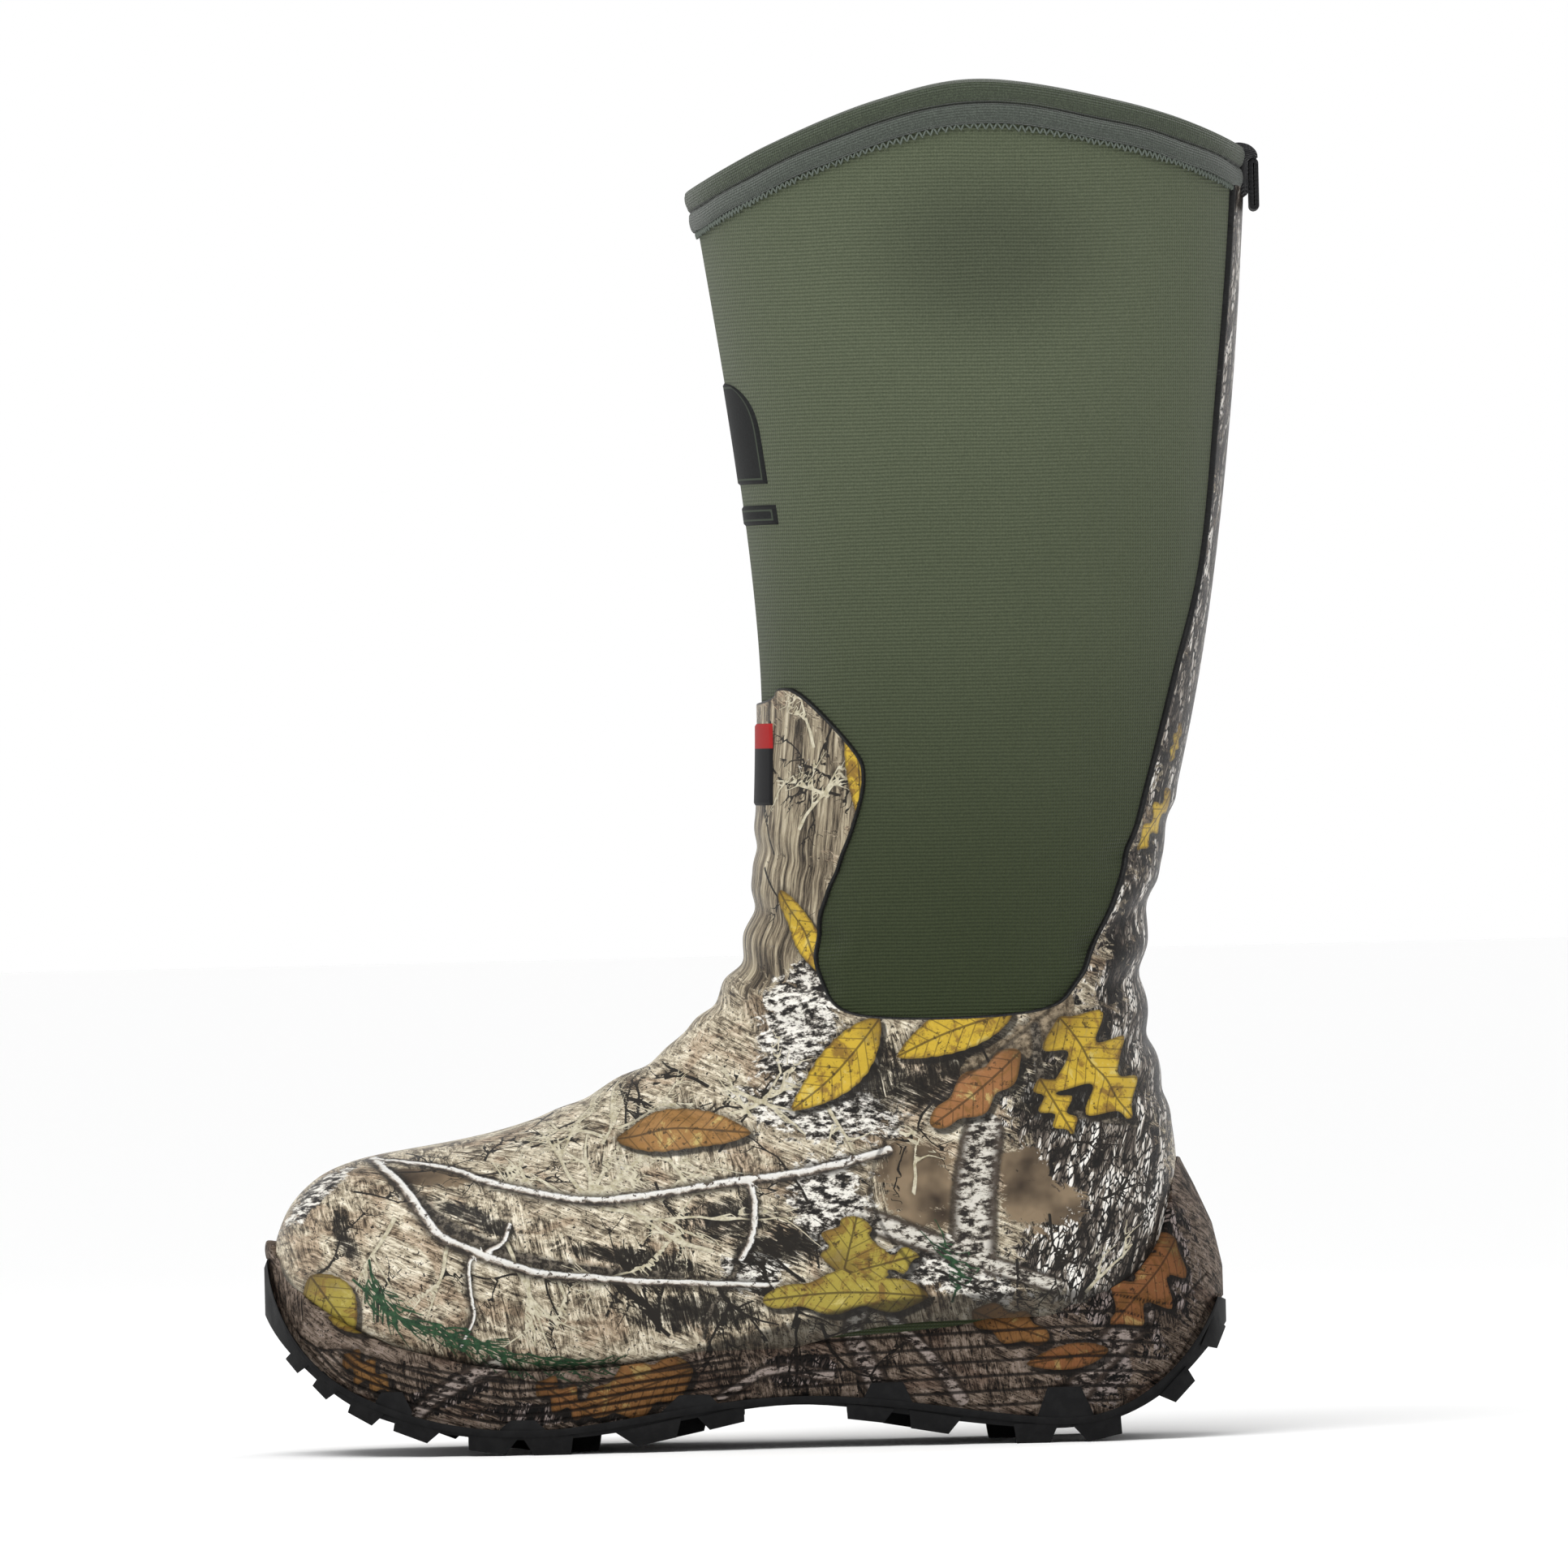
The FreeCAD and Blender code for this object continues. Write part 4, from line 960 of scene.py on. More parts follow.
def plain(name, colour, rough=0.6, grain=0.0, scale=900.0, **more):
    """One colour with a fine procedural grain."""
    m = Mat(name, Base_Color=colour, Roughness=rough, **more)
    if grain:
        coords = m.new("TexCoord").outputs["Object"]
        m.set(Normal=m.bump(m.noise(coords, scale, 4, 0.6), grain, 0.6))
    return m.material


def woven(name, colour, pitch):
    """Flat woven tape: ribs across attribute `along`, finer threads across `around`."""
    m = Mat(name, Roughness=0.85, Sheen_Weight=0.2, Specular_IOR_Level=0.2)
    ribs, threads = m.wave(m.attr("along"), pitch), m.wave(m.attr("around"), pitch * 0.7)
    fuzz = m.grain(1.6, 0, 4, 0.7)
    colour = m.mix(m.mask(fuzz, 0.42, 0.6), colour, tuple(c * 0.55 for c in colour))
    m.set(Base_Color=colour, Normal=m.bump(ribs + (threads * 0.5 + fuzz * 1.2), 0.0002, 0.8))
    return m.material


# ---- shared fields ----
WINDOW_POLY = np.vstack([curve([(-70, 238)] + WINDOW, per=10), [(-70, 480)]])
SEAM_POLY = np.vstack([curve(HEEL_SEAM, per=10), [(200, 20), (200, 500), (97, 500)]])
SOLE_POLY = np.vstack([curve(FEATHER, per=8), [(122, 56.5), (132.3, 67), (135.7, 78), (136.4, 92.5),
                                               (200, 92.5), (200, -20), (-200, -20), (-200, 80)]])
# line, depth and width of each crease
CREASES = [
    ([(-8, 201), (8, 194), (24, 190)], 0.8, 3.0), ([(-9, 181), (6, 173), (22, 167)], 1.3, 3.4),
    ([(-12, 163), (3, 155), (19, 151)], 1.5, 3.6), ([(-22, 149), (-3, 141), (15, 138)], 1.2, 3.6),
    ([(137, 205), (126, 196), (117, 192)], 0.9, 3.2), ([(131, 178), (119, 170), (108, 162)], 1.3, 3.6),
    ([(129, 156), (114, 148), (98, 143)], 1.3, 3.6), ([(132, 136), (118, 129), (104, 124)], 1.2, 3.6),
    ([(136, 116), (122, 113), (108, 112)], 0.7, 3.4), ([(-62, 118), (-45, 105), (-30, 92)], 0.6, 4.5),
    ([(-40, 128), (-24, 112), (-10, 100)], 0.8, 4.5), ([(10, 120), (30, 122), (50, 130)], 0.7, 4.0)]


def relief(q):
    """Soft creases of the ankle, mm outwards, at side-view points."""
    out = np.zeros(len(q))
    for line, depth, width in CREASES:
        d = segments(q, curve(line, per=6))[0]
        out += depth * (0.45 * np.exp(-((d - 2.1 * width) / width)**2) - np.exp(-(d / width)**2))
    return out


def collar_at(x):
    """Height of the collar's edge."""
    c = curve(COLLAR)
    return np.interp(x, c[:, 0], c[:, 1])


# ---- rubber overlays ----
# the rubber stops this far below the collar's edge, goes this far down behind the wall, and ends in a
# rolled edge this wide at the window
UNDER_TAPE, BEHIND_WALL, EDGE_ROLL = 11.0, 7.0, 0.9


def make_overlays():
    """The printed rubber: the skin less the window and the sole, with creases, heel ledge and rolled edge."""
    patch = Patch(1.15, 320)
    patch.clip(lambda q: collar_at(q[:, 0]) - UNDER_TAPE - q[:, 1])
    patch.clip(lambda q: signed(q, SOLE_POLY) + BEHIND_WALL)
    patch.clip(lambda q: signed(q, WINDOW_POLY) - EDGE_ROLL, mark=True)
    patch.tidy()
    uv, p = patch.uv, patch.points()
    q = p[:, [0, 2]]
    n = normals(uv[:, 0], uv[:, 1])
    edge = signed(q, WINDOW_POLY)
    seam = -signed(q, SEAM_POLY)
    flat_q = flat(uv[:, 0], uv[:, 1], p)
    ledge = 0.9 * step(-1.2, 1.0, seam) - 0.35 * np.exp(-((seam + 1.4) / 0.9)**2)
    lift = relief(q) + ledge * (1 - step(135, 175, q[:, 1]))
    verts = p + n * lift[:, None]
    faces = [list(f) for f in patch.quads] + patch.extra
    ids = sorted({i for pair in patch.cut for i in pair})
    where = {v: k for k, v in enumerate(ids)}
    rim_q = q[ids]
    a, b = WINDOW_POLY, np.roll(WINDOW_POLY, -1, 0)
    ab = b - a
    t = np.clip(((rim_q[:, None] - a) * ab).sum(2) / ((ab**2).sum(1) + 1e-9), 0, 1)
    foot = a + t[..., None] * ab
    k = ((rim_q[:, None] - foot)**2).sum(2).argmin(1)
    pull = foot[np.arange(len(ids)), k] - rim_q
    way = np.stack([pull[:, 0], np.zeros(len(ids)), pull[:, 1]], 1)
    way -= n[ids] * (way * n[ids]).sum(1)[:, None]
    way /= np.linalg.norm(way, axis=1)[:, None] + 1e-9
    rows, rims = [verts], [ids]
    edges, flats, ps = [edge], [flat_q], [p]
    for shift, depth in ((0.4, 0.1), (0.72, 0.4), (EDGE_ROLL, 0.95), (EDGE_ROLL, 2.5)):
        start = sum(len(r) for r in rows)
        rows.append(verts[ids] + way * shift - n[ids] * depth)
        rims.append(list(range(start, start + len(ids))))
        edges.append(np.full(len(ids), EDGE_ROLL - shift if depth < 2 else -1.0))
        flats.append(flat_q[ids])
        ps.append(p[ids])
    for outer, inner in zip(rims, rims[1:]):
        for i, j in patch.cut:
            x, y = where[i], where[j]
            faces.append([outer[y], outer[x], inner[x], inner[y]])
    verts, edge = np.vstack(rows), np.concatenate(edges)
    flat_q, p = np.vstack(flats), np.vstack(ps)
    attributes = print_attributes(flat_q, p[:, 1])
    attributes["pu"] = np.column_stack([flat_q, p[:, 1] * 0.25])
    attributes["edge"] = edge
    attributes["seam"] = -signed(p[:, [0, 2]], SEAM_POLY)
    # distance to the sole line, which places the painted shade along it
    attributes["sole_d"] = signed(p[:, [0, 2]], SOLE_POLY)
    obj = build("rubber_overlays", verts, faces, camo("camo_rubber", 0.35), attributes)
    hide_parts("vamp_shell", "heel_patch", "shin_guard", "spine_strip")
    return obj


def make_layer(name, depth, spacing, columns, material, inner=False):
    """A whole skin that lies depth mm inside the outer one; an inner layer faces inwards, uncreased."""
    patch = Patch(spacing, columns)
    patch.clip(lambda q: collar_at(q[:, 0]) - 1.5 - q[:, 1])
    patch.tidy()
    uv, p = patch.uv, patch.points()
    n = normals(uv[:, 0], uv[:, 1])
    verts = p - n * depth
    faces = [list(f) for f in patch.quads] + patch.extra
    if inner:
        faces = [f[::-1] for f in faces]
    else:
        verts += n * relief(p[:, [0, 2]])[:, None]
    around = flat(uv[:, 0], uv[:, 1], p)[:, 0]
    return build(name, verts, faces, material, {"pu": p[:, [0, 2, 1]], "around": around})


# ---- collar ----
def collar_ring(count):
    """Points, outward normals and downward directions round the collar's edge."""
    v = -0.5 + np.arange(count) * RING / count
    low, high = np.zeros(count), np.full(count, 6.0)
    for _ in range(40):  # halving towards the edge
        mid = (low + high) / 2
        p = skin(mid, v)
        above = p[:, 2] > collar_at(p[:, 0])
        low, high = np.where(above, mid, low), np.where(above, high, mid)
    p, n = skin(mid, v), normals(mid, v)
    d = skin(mid + 0.03, v) - skin(mid - 0.03, v)
    return p, n, d / np.linalg.norm(d, axis=1, keepdims=True)


def sweep(name, profile, material, wobble, count=520):
    """A profile of (outwards, downwards) mm carried round the collar."""
    p, n, d = collar_ring(count)
    prof = np.array(profile, float)
    m = len(prof)
    out, down = wobble(np.tile(prof[:, 0], (count, 1)), np.tile(prof[:, 1], (count, 1)),
                       np.arange(count)[:, None] / count)
    verts = p[:, None] + n[:, None] * out[..., None] + d[:, None] * down[..., None]
    verts = verts.reshape(-1, 3)
    attributes = {"pu": verts, "along": np.repeat(lengths(p), m), "around": np.tile(lengths(prof), count),
                  "down": down.ravel()}
    return build(name, verts, grid(count, m, True, True, flip=True), material, attributes)


def roll(a0, b0, a1, b1, bulge, n=9):
    """A bulging run of profile points from (a0, b0) to (a1, b1)."""
    t = np.linspace(0, 1, n)
    return [(a0 + (a1 - a0) * s + bulge * math.sin(math.pi * s)**0.6, b0 + (b1 - b0) * s) for s in t]


def make_collar():
    top = [(-5.5 + 6.0 * math.cos(a), 0.2 - 1.6 * math.sin(a)) for a in np.linspace(math.pi, 0, 15)]
    outer = roll(0.5, 0.4, -0.3, 6.2, 0.75) + [(-0.7, 6.5)] + roll(-0.3, 6.8, -0.2, 13.0, 0.95)
    inner = [(-1.6, 13.3), (-2.6, 12.6), (-10.2, 12.6), (-11.6, 13.0), (-12.3, 12.0), (-12.3, 6.0)]

    def wobble(out, down, t):
        ripple = 0.12 * np.sin(t * 620) * (np.abs(down - 6.5) < 1.6) + 0.18 * np.sin(t * 47) * (down > 2)
        return out + ripple * (out > -2), down + 0.25 * np.sin(t * 93 + 1) * (down > 5) * (out > -2)

    m = Mat("binding", Roughness=0.9, Sheen_Weight=0.3, Specular_IOR_Level=0.2)
    fuzz, low = m.grain(1.8, 0, 4, 0.7), m.attr("down")
    ribs, rows = m.wave(m.attr("along"), 0.8), m.wave(m.attr("around"), 0.9)
    colour = m.mix(m.mask(low, 5.6, 7.2), (0.086, 0.102, 0.084), (0.066, 0.083, 0.052))
    colour = m.mix(m.mask(fuzz, 0.45, 0.62), colour, m.tint(colour, (0.6, 0.6, 0.6)))
    # painted shade: a dark line in the groove between the two rolls
    colour = m.mix(m.mask(abs(low - 6.45), 0.2, 0.8) * 0.75, colour, (0.012, 0.014, 0.011))
    m.set(Base_Color=colour, Normal=m.bump(ribs * 0.4 + (rows + fuzz * 1.4), 0.0002, 0.8))
    tape = sweep("collar_tape", top + outer + inner, m.material, wobble)
    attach(tape, "shaft")
    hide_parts("collar_binding")

    # zigzag overlock stitches under the tape, each a thin six-sided spindle
    p, n, d = collar_ring(1040)
    stitches = 500
    at = np.linspace(0, 1040, stitches, endpoint=False).astype(int)
    verts, faces = [], []
    rng = np.random.default_rng(3)
    for k in range(stitches):
        i, j = at[k], at[(k + 1) % stitches]
        a = p[i] + n[i] * -0.9 + d[i] * (13.0 if k % 2 else 15.2 + rng.uniform(-0.4, 0.4))
        b = p[j] + n[j] * -0.9 + d[j] * (15.2 + rng.uniform(-0.4, 0.4) if k % 2 else 13.0)
        axis = (b - a) / (np.linalg.norm(b - a) + 1e-9)
        side = np.cross(axis, n[i])
        faces += (grid(5, 6, round_columns=True, flip=True) + len(verts)).tolist()
        for t, r in ((0, 0.1), (0.12, 0.3), (0.5, 0.34), (0.88, 0.3), (1, 0.1)):
            c = a + (b - a) * t + n[i] * 0.15 * math.sin(math.pi * t)
            for g in range(6):
                w = g * math.pi / 3
                verts.append(c + r * (math.cos(w) * side + math.sin(w) * n[i]))
    thread = build("collar_zigzag", verts, faces, plain("thread", (0.105, 0.125, 0.105), 0.8, 0.0002, 2600.0))
    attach(thread, "shaft")
    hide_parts("collar_stitching")


# ---- pull loop ----
def make_loop():
    """The flat webbing loop, hanging from its pivot, as a rounded strip section carried round a line."""
    x, top, drop, half, ply, gap = 168.3, 421.0, 14.0, 11.0, 0.8, 0.9
    bends = np.linspace(0.25, math.pi - 0.25, 7)
    line = [(x + gap, z) for z in np.linspace(top, top - drop, 22)]
    line += [(x + gap * math.cos(a), top - drop - gap * math.sin(a)) for a in bends]
    line += [(x - gap, z) for z in np.linspace(top - drop, top, 22)]
    line += [(x - gap * math.cos(a), top + gap * math.sin(a)) for a in bends]
    line = np.array(line)
    t = np.roll(line, -1, 0) - np.roll(line, 1, 0)
    t /= np.linalg.norm(t, axis=1, keepdims=True)
    out = np.stack([-t[:, 1], t[:, 0]], 1)
    across = np.linspace(-half + 0.3, half - 0.3, 21)
    section = [(y, ply * (1 - 0.25 * (abs(y) / half)**6)) for y in across] + [(half, 0.0)]
    section += [(y, -ply * (1 - 0.25 * (abs(y) / half)**6)) for y in across[::-1]] + [(-half, 0.0)]
    verts = np.array([[c[0] + o[0] * rise, y, c[1] + o[1] * rise]
                      for c, o in zip(line, out) for y, rise in section])
    faces = grid(len(line), len(section), True, True)
    obj = build("pull_webbing", verts, faces, woven("webbing", (0.014, 0.014, 0.016), 1.3),
                {"pu": verts, "along": np.repeat(lengths(line), len(section)), "around": verts[:, 1]})
    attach(obj, "pull_loop")
    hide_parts("pull_loop")


def make_anchor():
    """The webbing that folds over the back of the collar and holds the loop."""
    outer = curve([(160.5, 427.6), (163.5, 428.2), (166.6, 427.5), (168.6, 426.0), (169.5, 424.5),
                   (169.7, 423.0)], per=5)
    inner = [(168.9, 422.95), (167.7, 423.0), (166.7, 422.3), (166.45, 421.2), (166.45, 411.5),
             (165.2, 410.6), (163.5, 411.2), (163.5, 424.0), (160.5, 425.8)]
    loop = np.vstack([outer, inner])
    ys = np.linspace(-11.6, 11.6, 25)
    m, c = len(loop), len(ys)
    verts = np.array([[x, y, z - 0.03 * abs(y)] for y in ys for x, z in loop])
    faces = grid(c, m, round_columns=True, flip=True).tolist()
    faces += [list(range(m))[::-1], [(c - 1) * m + j for j in range(m)]]
    obj = build("loop_anchor", verts, faces, woven("webbing_anchor", (0.016, 0.016, 0.018), 1.3),
                {"pu": verts, "along": np.tile(lengths(loop), c), "around": verts[:, 1]})
    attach(obj, "shaft")


# ---- badge and label ----
ARCH = 20.0  # height of the badge's rounded top


def applique(name, top, bottom, half, arch, depth, thick, material, node=None):
    """A thin blank panel that follows the front of the shaft, from (y, z) grid to skin."""
    rows, cols = max(6, int((top - bottom) / 0.8)), int(half * 2 / 0.8)
    yz, e = [], []
    for z in np.linspace(bottom, top, rows + 1):
        w = half
        if arch and z > top - ARCH:
            w = half * max(1 - ((z - top + ARCH) / ARCH)**3, 0.001)**(1 / 3)
        for y in np.linspace(-1, 1, cols + 1) * w:
            yz.append((y, z))
            e.append(min(w - abs(y), z - bottom, top - z))
    yz, e = np.array(yz), np.array(e)
    u, v = np.interp(yz[:, 1], (212, 352), (4.6, 1.9)), -0.5 + yz[:, 0] / 11.0
    for _ in range(14):  # Newton's steps towards each point's place on the skin
        p = skin(u, v)
        pu, pv = skin(u + 0.01, v) - p, skin(u, v + 0.01) - p
        ez, ey = yz[:, 1] - p[:, 2], yz[:, 0] - p[:, 1]
        det = pu[:, 2] * pv[:, 1] - pu[:, 1] * pv[:, 2]
        u = np.clip(u + 0.01 * (ez * pv[:, 1] - ey * pv[:, 2]) / det, 0, 12)
        v = v + 0.01 * (ey * pu[:, 2] - ez * pu[:, 1]) / det
    p, n = skin(u, v), normals(u, v)
    lift = -depth + thick * (1 - np.clip(1 - e / 0.5, 0, 1)**2)
    outer = p + n * lift[:, None]
    c = cols + 1
    rim = [j for j in range(c)] + [i * c + cols for i in range(1, rows + 1)]
    rim += [rows * c + j for j in range(cols - 1, -1, -1)] + [i * c for i in range(rows - 1, 0, -1)]
    inner = outer[rim] - n[rim] * (thick + 0.4)
    start, loop = len(outer), len(rim)
    faces = grid(rows + 1, c, flip=True).tolist()
    faces += [[rim[(k + 1) % loop], rim[k], start + k, start + (k + 1) % loop] for k in range(loop)]
    spots = np.vstack([yz, yz[rim]])
    obj = build(name, np.vstack([outer, inner]), faces, material,
                {"pu": np.column_stack([spots, 0 * spots[:, 0]]), "edge": np.append(e, -np.ones(loop))})
    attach(obj, "shaft")
    if node:
        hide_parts(node)


def make_badges():
    m = Mat("badge", Roughness=0.7, Specular_IOR_Level=0.2)
    fuzz = m.grain(1.2, 0, 4, 0.7)
    face = m.mix(m.mask(fuzz, 0.3, 0.6), (0.006, 0.0065, 0.0065), (0.011, 0.012, 0.0125))
    border = m.mask(abs(m.attr("edge") - 1.7), 0.2, 0.4)
    m.set(Base_Color=m.mix(border, face, (0.04, 0.05, 0.035)), Normal=m.bump(fuzz, 0.0002, 0.6))
    applique("badge_arch", 352, 318, 28, True, 1.8, 0.7, m.material, "front_badge")
    applique("badge_bar", 311, 304.5, 30, False, 1.8, 0.6, m.material)
    label = Mat("label", Roughness=0.6, Specular_IOR_Level=0.15)
    band = label.mask(label.height(), 230.6, 231.0)
    label.set(Base_Color=label.mix(band, (0.3, 0.012, 0.012), (0.006, 0.006, 0.007)),
              Normal=label.bump(label.grain(0.9, 0, 4, 0.7), 0.0001, 0.4))
    applique("shin_tab", 239, 212, 20, False, -0.1, 0.55, label.material, "shin_label")


# ---- midsole ----
# outlines of the grooved panels on the wall: heel, forefoot, kicker
PANEL_LINES = [
    [(1, 20), (2, 26), (5, 35), (25, 43), (45, 45), (64, 46.2), (90, 46.6), (106, 45.5), (124, 40),
      (133, 36)],
    [(-158, 40), (-150, 35.5), (-141.7, 35.3), (-125, 30.5), (-103, 26.5), (-100, 21), (-96, 26),
      (-75, 23.4), (-55, 24), (-21, 30), (-12, 31), (-5, 24), (-4, 18)],
    [(110, 49), (124, 46), (135, 45), (146, 54)]]
FORE_GROOVE, HEEL_GROOVE = 2.7, 4.9  # distance from groove to groove


def make_midsole():
    """The printed wall between outsole and upper, a grid of columns round the plan outline."""
    ring = curve(OUTLINE, closed=True, per=40)
    ring = np.vstack([ring, ring[:1]])
    run = lengths(ring)
    count, rows = 640, 62
    s = np.arange(count) * run[-1] / count
    x, y = np.interp(s, run, ring[:, 0]), np.interp(s, run, ring[:, 1])
    tx, ty = np.roll(x, -1) - np.roll(x, 1), np.roll(y, -1) - np.roll(y, 1)
    size = np.hypot(tx, ty)
    nx, ny = ty / size, -tx / size
    rim = curve(RIM, per=12)
    top_line = np.vstack([curve(FEATHER, per=10), KICKER[1:]])
    zb = np.interp(x, rim[:, 0], rim[:, 1])
    zt = np.interp(x, top_line[:, 0], top_line[:, 1])
    zt = np.maximum(zt, zb + 5)
    frac = np.linspace(0, 1, rows)[None]
    tucked = np.minimum(zb, np.interp(x - 2.6 * nx, rim[:, 0], rim[:, 1]))
    bottom, top = (tucked - 2.0)[:, None], (zt - 1.2)[:, None]
    z = bottom + (top - bottom) * frac
    q = np.column_stack([np.repeat(x, rows), z.ravel()])
    off_rim = segments(q, rim)[0].reshape(z.shape)
    xx, zz = x[:, None], zb[:, None]
    phase_fore = off_rim / FORE_GROOVE
    phase_heel = (z - 20 - 0.035 * (xx - 5) + 0.0022 * np.maximum(0, xx - 95)**2) / HEEL_GROOVE
    lines = [curve(line, per=8) for line in PANEL_LINES]
    near = np.min([segments(q, line)[0] for line in lines], axis=0).reshape(z.shape)
    fore_top = np.interp(x, lines[1][:, 0], lines[1][:, 1])[:, None]
    heel_top = np.interp(x, lines[0][:, 0], lines[0][:, 1])[:, None]
    off_edge = step(0.6, 1.4, off_rim)
    in_fore = (1 - step(-0.6, 0.4, z - fore_top)) * (xx < -6) * off_edge
    in_heel = (1 - step(-0.6, 0.4, z - heel_top)) * (xx > 3) * (1 - step(128, 134, xx)) * off_edge
    gz = np.where(xx < -6, phase_fore, phase_heel)
    gs = np.where(xx < -6, FORE_GROOVE, HEEL_GROOVE) * np.ones_like(z)
    gk = np.maximum(in_fore, in_heel)
    tri = np.abs(gz - np.round(gz)) * gs
    h = np.clip((z - zz) / (zt[:, None] - zz), 0, 1)
    grooves = 0.55 * gk * np.exp(-(tri / 0.42)**2)
    out = -1.6 + 0.5 * np.sin(np.pi * h) - grooves - 0.5 * np.exp(-(near / 0.55)**2) + 0.25 * gk
    out = np.where(z < zz + 0.2, -2.2, out)
    sway = 12.0 * (z + 5) / 115
    back = read(KICKER_BACK, z) * step(118, 148, xx)
    px = xx + nx[:, None] * out - back
    py = y[:, None] + ny[:, None] * (out - sway)
    tree_v, tree_f = [], []
    for node in ("vamp_shell", "heel_patch"):
        mesh = NODES[node].data
        base = len(tree_v)
        tree_v += [v.co.copy() for v in mesh.vertices]
        tree_f += [tuple(base + i for i in f.vertices) for f in mesh.polygons]
    tree = BVHTree.FromPolygons(tree_v, tree_f)
    gap = np.zeros(count)
    for i in range(count):
        start = Vector((px[i, -1], py[i, -1], zt[i] - 0.8)) * MM
        hit = tree.ray_cast(start + Vector((nx[i], ny[i], 0)) * 0.004, Vector((-nx[i], -ny[i], 0)), 0.05)
        gap[i] = 3.0 if hit[0] is None else max(0.5, hit[3] / MM - 4.0)
    gap = np.convolve(np.concatenate([gap[-4:], gap, gap[:4]]), np.ones(9) / 9, "valid")
    # the top lip turns in towards the upper: how far in, and how high above the feather line
    lips = [(np.minimum(0.3, gap * 0.6), -0.35), (np.minimum(0.9, gap * 0.6), 0.0), (gap * 0.6, -0.05),
            (gap + 1.4, -0.5)]
    base = np.stack([px[:, 0] - nx * 5, py[:, 0] - ny * 5, z[:, 0]], 1)[:, None]
    edges = [np.stack([px[:, -1] - nx * r, py[:, -1] - ny * r, zt + dz], 1)[:, None] for r, dz in lips]
    full = np.hstack([base, np.stack([px, py, z], 2), *edges])
    m = full.shape[1]

    def spread(field, fill=None):
        last = field[:, -1:] if fill is None else np.full((count, 1), fill)
        return np.hstack([field[:, :1], field] + [last] * 4).ravel()

    middle = np.interp(-25.0, x[:count // 2], s[:count // 2])
    other = run[-1] - np.interp(25.0, -x[count // 2:], run[-1] - s[count // 2:])
    wide = np.where(y < 0, -25 + (s - middle), -25 + ((run[-1] - s) - (run[-1] - other)))
    verts = full.reshape(-1, 3)
    flat_q = np.column_stack([np.repeat(wide, m), verts[:, 2]])
    attributes = print_attributes(flat_q, verts[:, 1], False)
    attributes["pu"] = np.column_stack([flat_q, verts[:, 1] * 0.25])
    attributes["gz"], attributes["gs"], attributes["gk"] = spread(gz), spread(gs), spread(gk, 0.0)
    attributes["pl"] = spread(near)
    attributes["run"] = np.repeat(s, m)
    faces = grid(count, m, round_rows=True)
    obj = build("midsole_wall", verts, faces, camo("camo_midsole", 0.6, sole=True), attributes)
    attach(obj, "foot")
    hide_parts("midsole")


# ---- the pieces ----
overlays = make_overlays()
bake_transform(overlays)
# the neoprene's painted shade and light: dark at the ankle, light at the collar
green = knit("neoprene", (0.034, 0.045, 0.0175), (0.115, 0.133, 0.082), (78, 392, 46, 34))
sleeve = make_layer("neoprene_sleeve", 1.8, 2.8, 170, green)
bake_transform(sleeve)
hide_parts("bootie_toe", "bootie_heel", "shaft_sleeve")
soft = knit("lining", (0.03, 0.03, 0.032), (0.035, 0.035, 0.037), None, 2.2)
lining = make_layer("lining_sleeve", 10.6, 4.0, 130, soft, inner=True)
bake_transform(lining)
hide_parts("lining_foot", "lining_shaft", "batting_foot", "batting_shaft")
make_collar()
make_loop()
make_anchor()
make_badges()
make_midsole()

tread = Mat("outsole_rubber", Roughness=0.65, Specular_IOR_Level=0.13)
where = tread.new("TexCoord").outputs["Object"]
dust = tread.noise(where, 260.0, 4, 0.6)
tread.set(Base_Color=tread.mix(tread.mask(dust, 0.4, 0.62), (0.006, 0.006, 0.0063), (0.0035, 0.0035, 0.0038)),
          Normal=tread.bump(tread.noise(where, 1400.0, 4, 0.6), 0.0001, 0.6))
LOOKS = {
    "outsole": tread.material,
    "midsole_core": plain("core_foam", (0.6, 0.6, 0.58), 0.9, 0.0003),
    "shank": plain("shank_steel", (0.5, 0.5, 0.52), 0.35, 0.00003, 1500.0, Metallic=1.0),
    "insole_board": plain("board", (0.3, 0.22, 0.15), 0.85, 0.0002),
    "toe_puff": plain("stiffener_toe", (0.75, 0.73, 0.68), 0.7, 0.0002),
    "heel_counter": plain("stiffener_heel", (0.75, 0.73, 0.68), 0.7, 0.0002),
    "footbed": plain("footbed_foam", (0.12, 0.12, 0.13), 0.9, 0.0003),
    "footbed_cover": plain("footbed_fabric", (0.1, 0.12, 0.09), 0.95, 0.0003, 1300.0, Sheen_Weight=0.3),
    "heel_pad": plain("gel", (0.5, 0.3, 0.08), 0.3, 0.0001, 500.0),
}
for node, look in LOOKS.items():
    NODES[node].data.materials.clear()
    NODES[node].data.materials.append(look)
for node in ("outsole", "footbed", "footbed_cover"):
    weld = NODES[node].modifiers.new("weld", "WELD")
    weld.merge_threshold = 0.00002
    edge = NODES[node].modifiers.new("bevel", "BEVEL")
    edge.width, edge.segments, edge.limit_method, edge.angle_limit = 0.0006, 2, "ANGLE", math.radians(35)
    edge.harden_normals = True


# ---- floor, light, camera ----
def make_floor():
    """A round floor; its rings are 0.3 to 20 m wide."""
    ring, verts = 96, [(0.0, 0.0, 0.0)]
    for r in (0.3, 0.8, 2.0, 6.0, 20.0):
        verts += [(1000 * r * math.cos(a), 1000 * r * math.sin(a), 0.0)
                  for a in np.linspace(0, 2 * math.pi, ring, endpoint=False)]
    faces = [(0, 1 + k, 1 + (k + 1) % ring) for k in range(ring)]
    faces += (grid(5, ring, round_columns=True) + 1).tolist()
    floor = build("floor", verts, faces, plain("floor_paint", (0.97, 0.97, 0.97), 0.95))


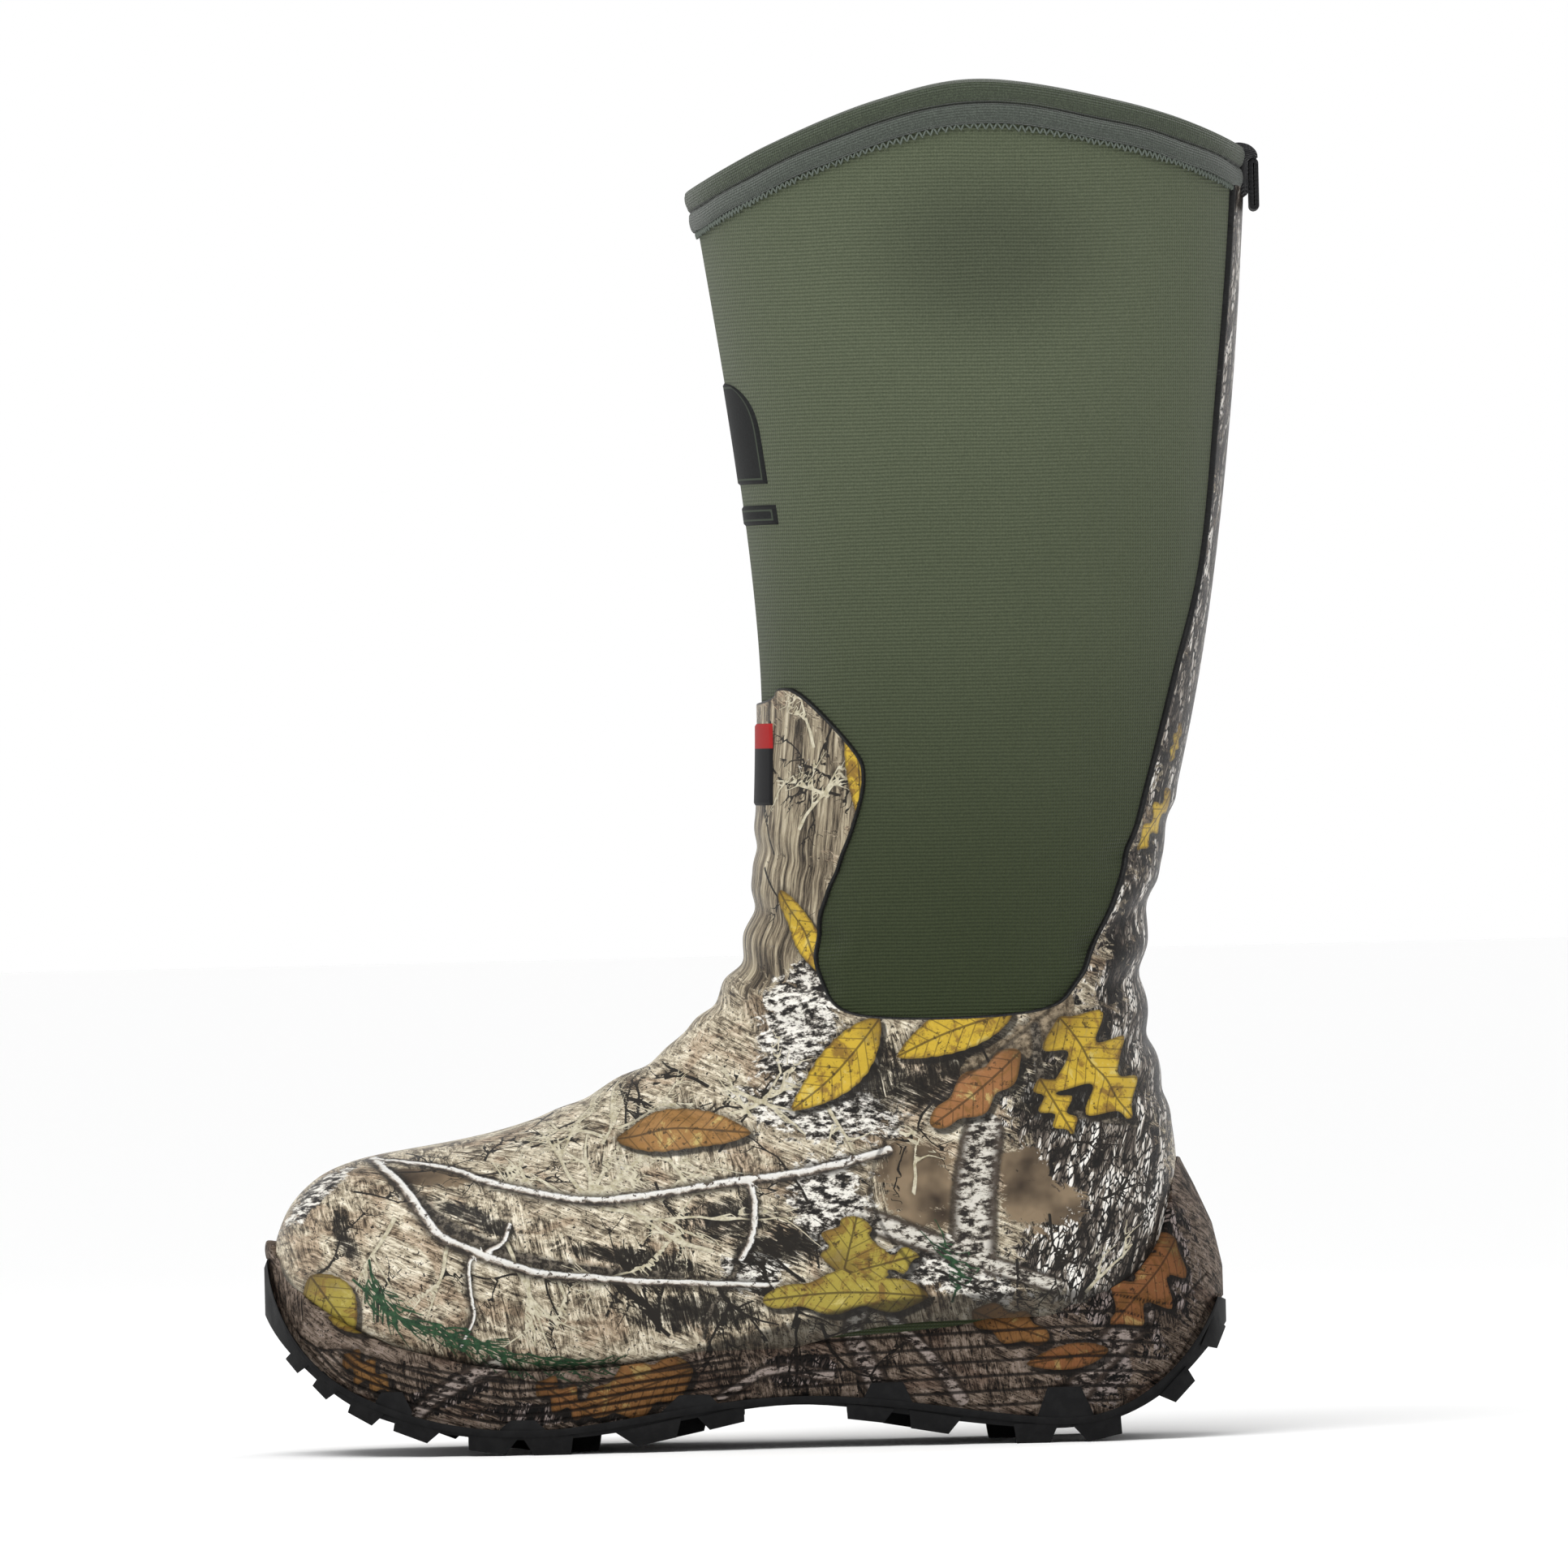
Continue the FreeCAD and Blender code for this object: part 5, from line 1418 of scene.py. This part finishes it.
def area(name, place_at, aim, size, power):
    lamp = bpy.data.lights.new(name, "AREA")
    lamp.shape, lamp.size, lamp.size_y, lamp.energy = "RECTANGLE", size[0], size[1], power
    obj = bpy.data.objects.new(name, lamp)
    obj.location = place_at
    obj.rotation_euler = (Vector(aim) - Vector(place_at)).to_track_quat("-Z", "Y").to_euler()
    bpy.context.scene.collection.objects.link(obj)


make_floor()
area("key", (-0.7, -1.3, 1.5), (0, 0, 0.2), (1.0, 0.7), 9)
area("back", (0.9, 1.2, 1.0), (0, 0, 0.25), (0.9, 0.9), 5)
lamp = bpy.data.lights.new("sun", "SUN")
lamp.energy, lamp.angle = 1.75, math.radians(50)
sun = bpy.data.objects.new("sun", lamp)
sun.rotation_euler = Vector((0.35, 0.75, -1.5)).to_track_quat("-Z", "Y").to_euler()
bpy.context.scene.collection.objects.link(sun)
world = bpy.data.worlds.new("studio")
world.use_nodes = True
sky, back = world.node_tree.nodes, world.node_tree.nodes["Background"]
height, split = sky.new("ShaderNodeTexCoord"), sky.new("ShaderNodeSeparateXYZ")
fade = sky.new("ShaderNodeMapRange")
world.node_tree.links.new(height.outputs["Generated"], split.inputs[0])
world.node_tree.links.new(split.outputs[2], fade.inputs["Value"])
for key, value in (("From Min", 0.12), ("From Max", 0.75), ("To Min", 1.0), ("To Max", 0.4)):
    fade.inputs[key].default_value = value
world.node_tree.links.new(fade.outputs[0], back.inputs["Strength"])
back.inputs["Color"].default_value = (1, 1, 1, 1)
bpy.context.scene.world = world
bpy.context.scene.view_settings.view_transform = "Standard"

CAMERA_RANGE = 7.0  # far away and zoomed in, as the picture is nearly flat
lens = bpy.data.cameras.new("camera")
lens.sensor_width, lens.lens, lens.clip_end = 36.0, 36.0 * CAMERA_RANGE / 0.520, 100.0
camera = bpy.data.objects.new("camera", lens)
camera.location = (0.0082, -CAMERA_RANGE, 0.2189)
ROLL = math.radians(-1.3)
camera.rotation_euler = (Matrix.Rotation(math.radians(90), 3, "X") @ Matrix.Rotation(ROLL, 3, "Z")).to_euler()
bpy.context.scene.collection.objects.link(camera)
bpy.context.scene.camera = camera
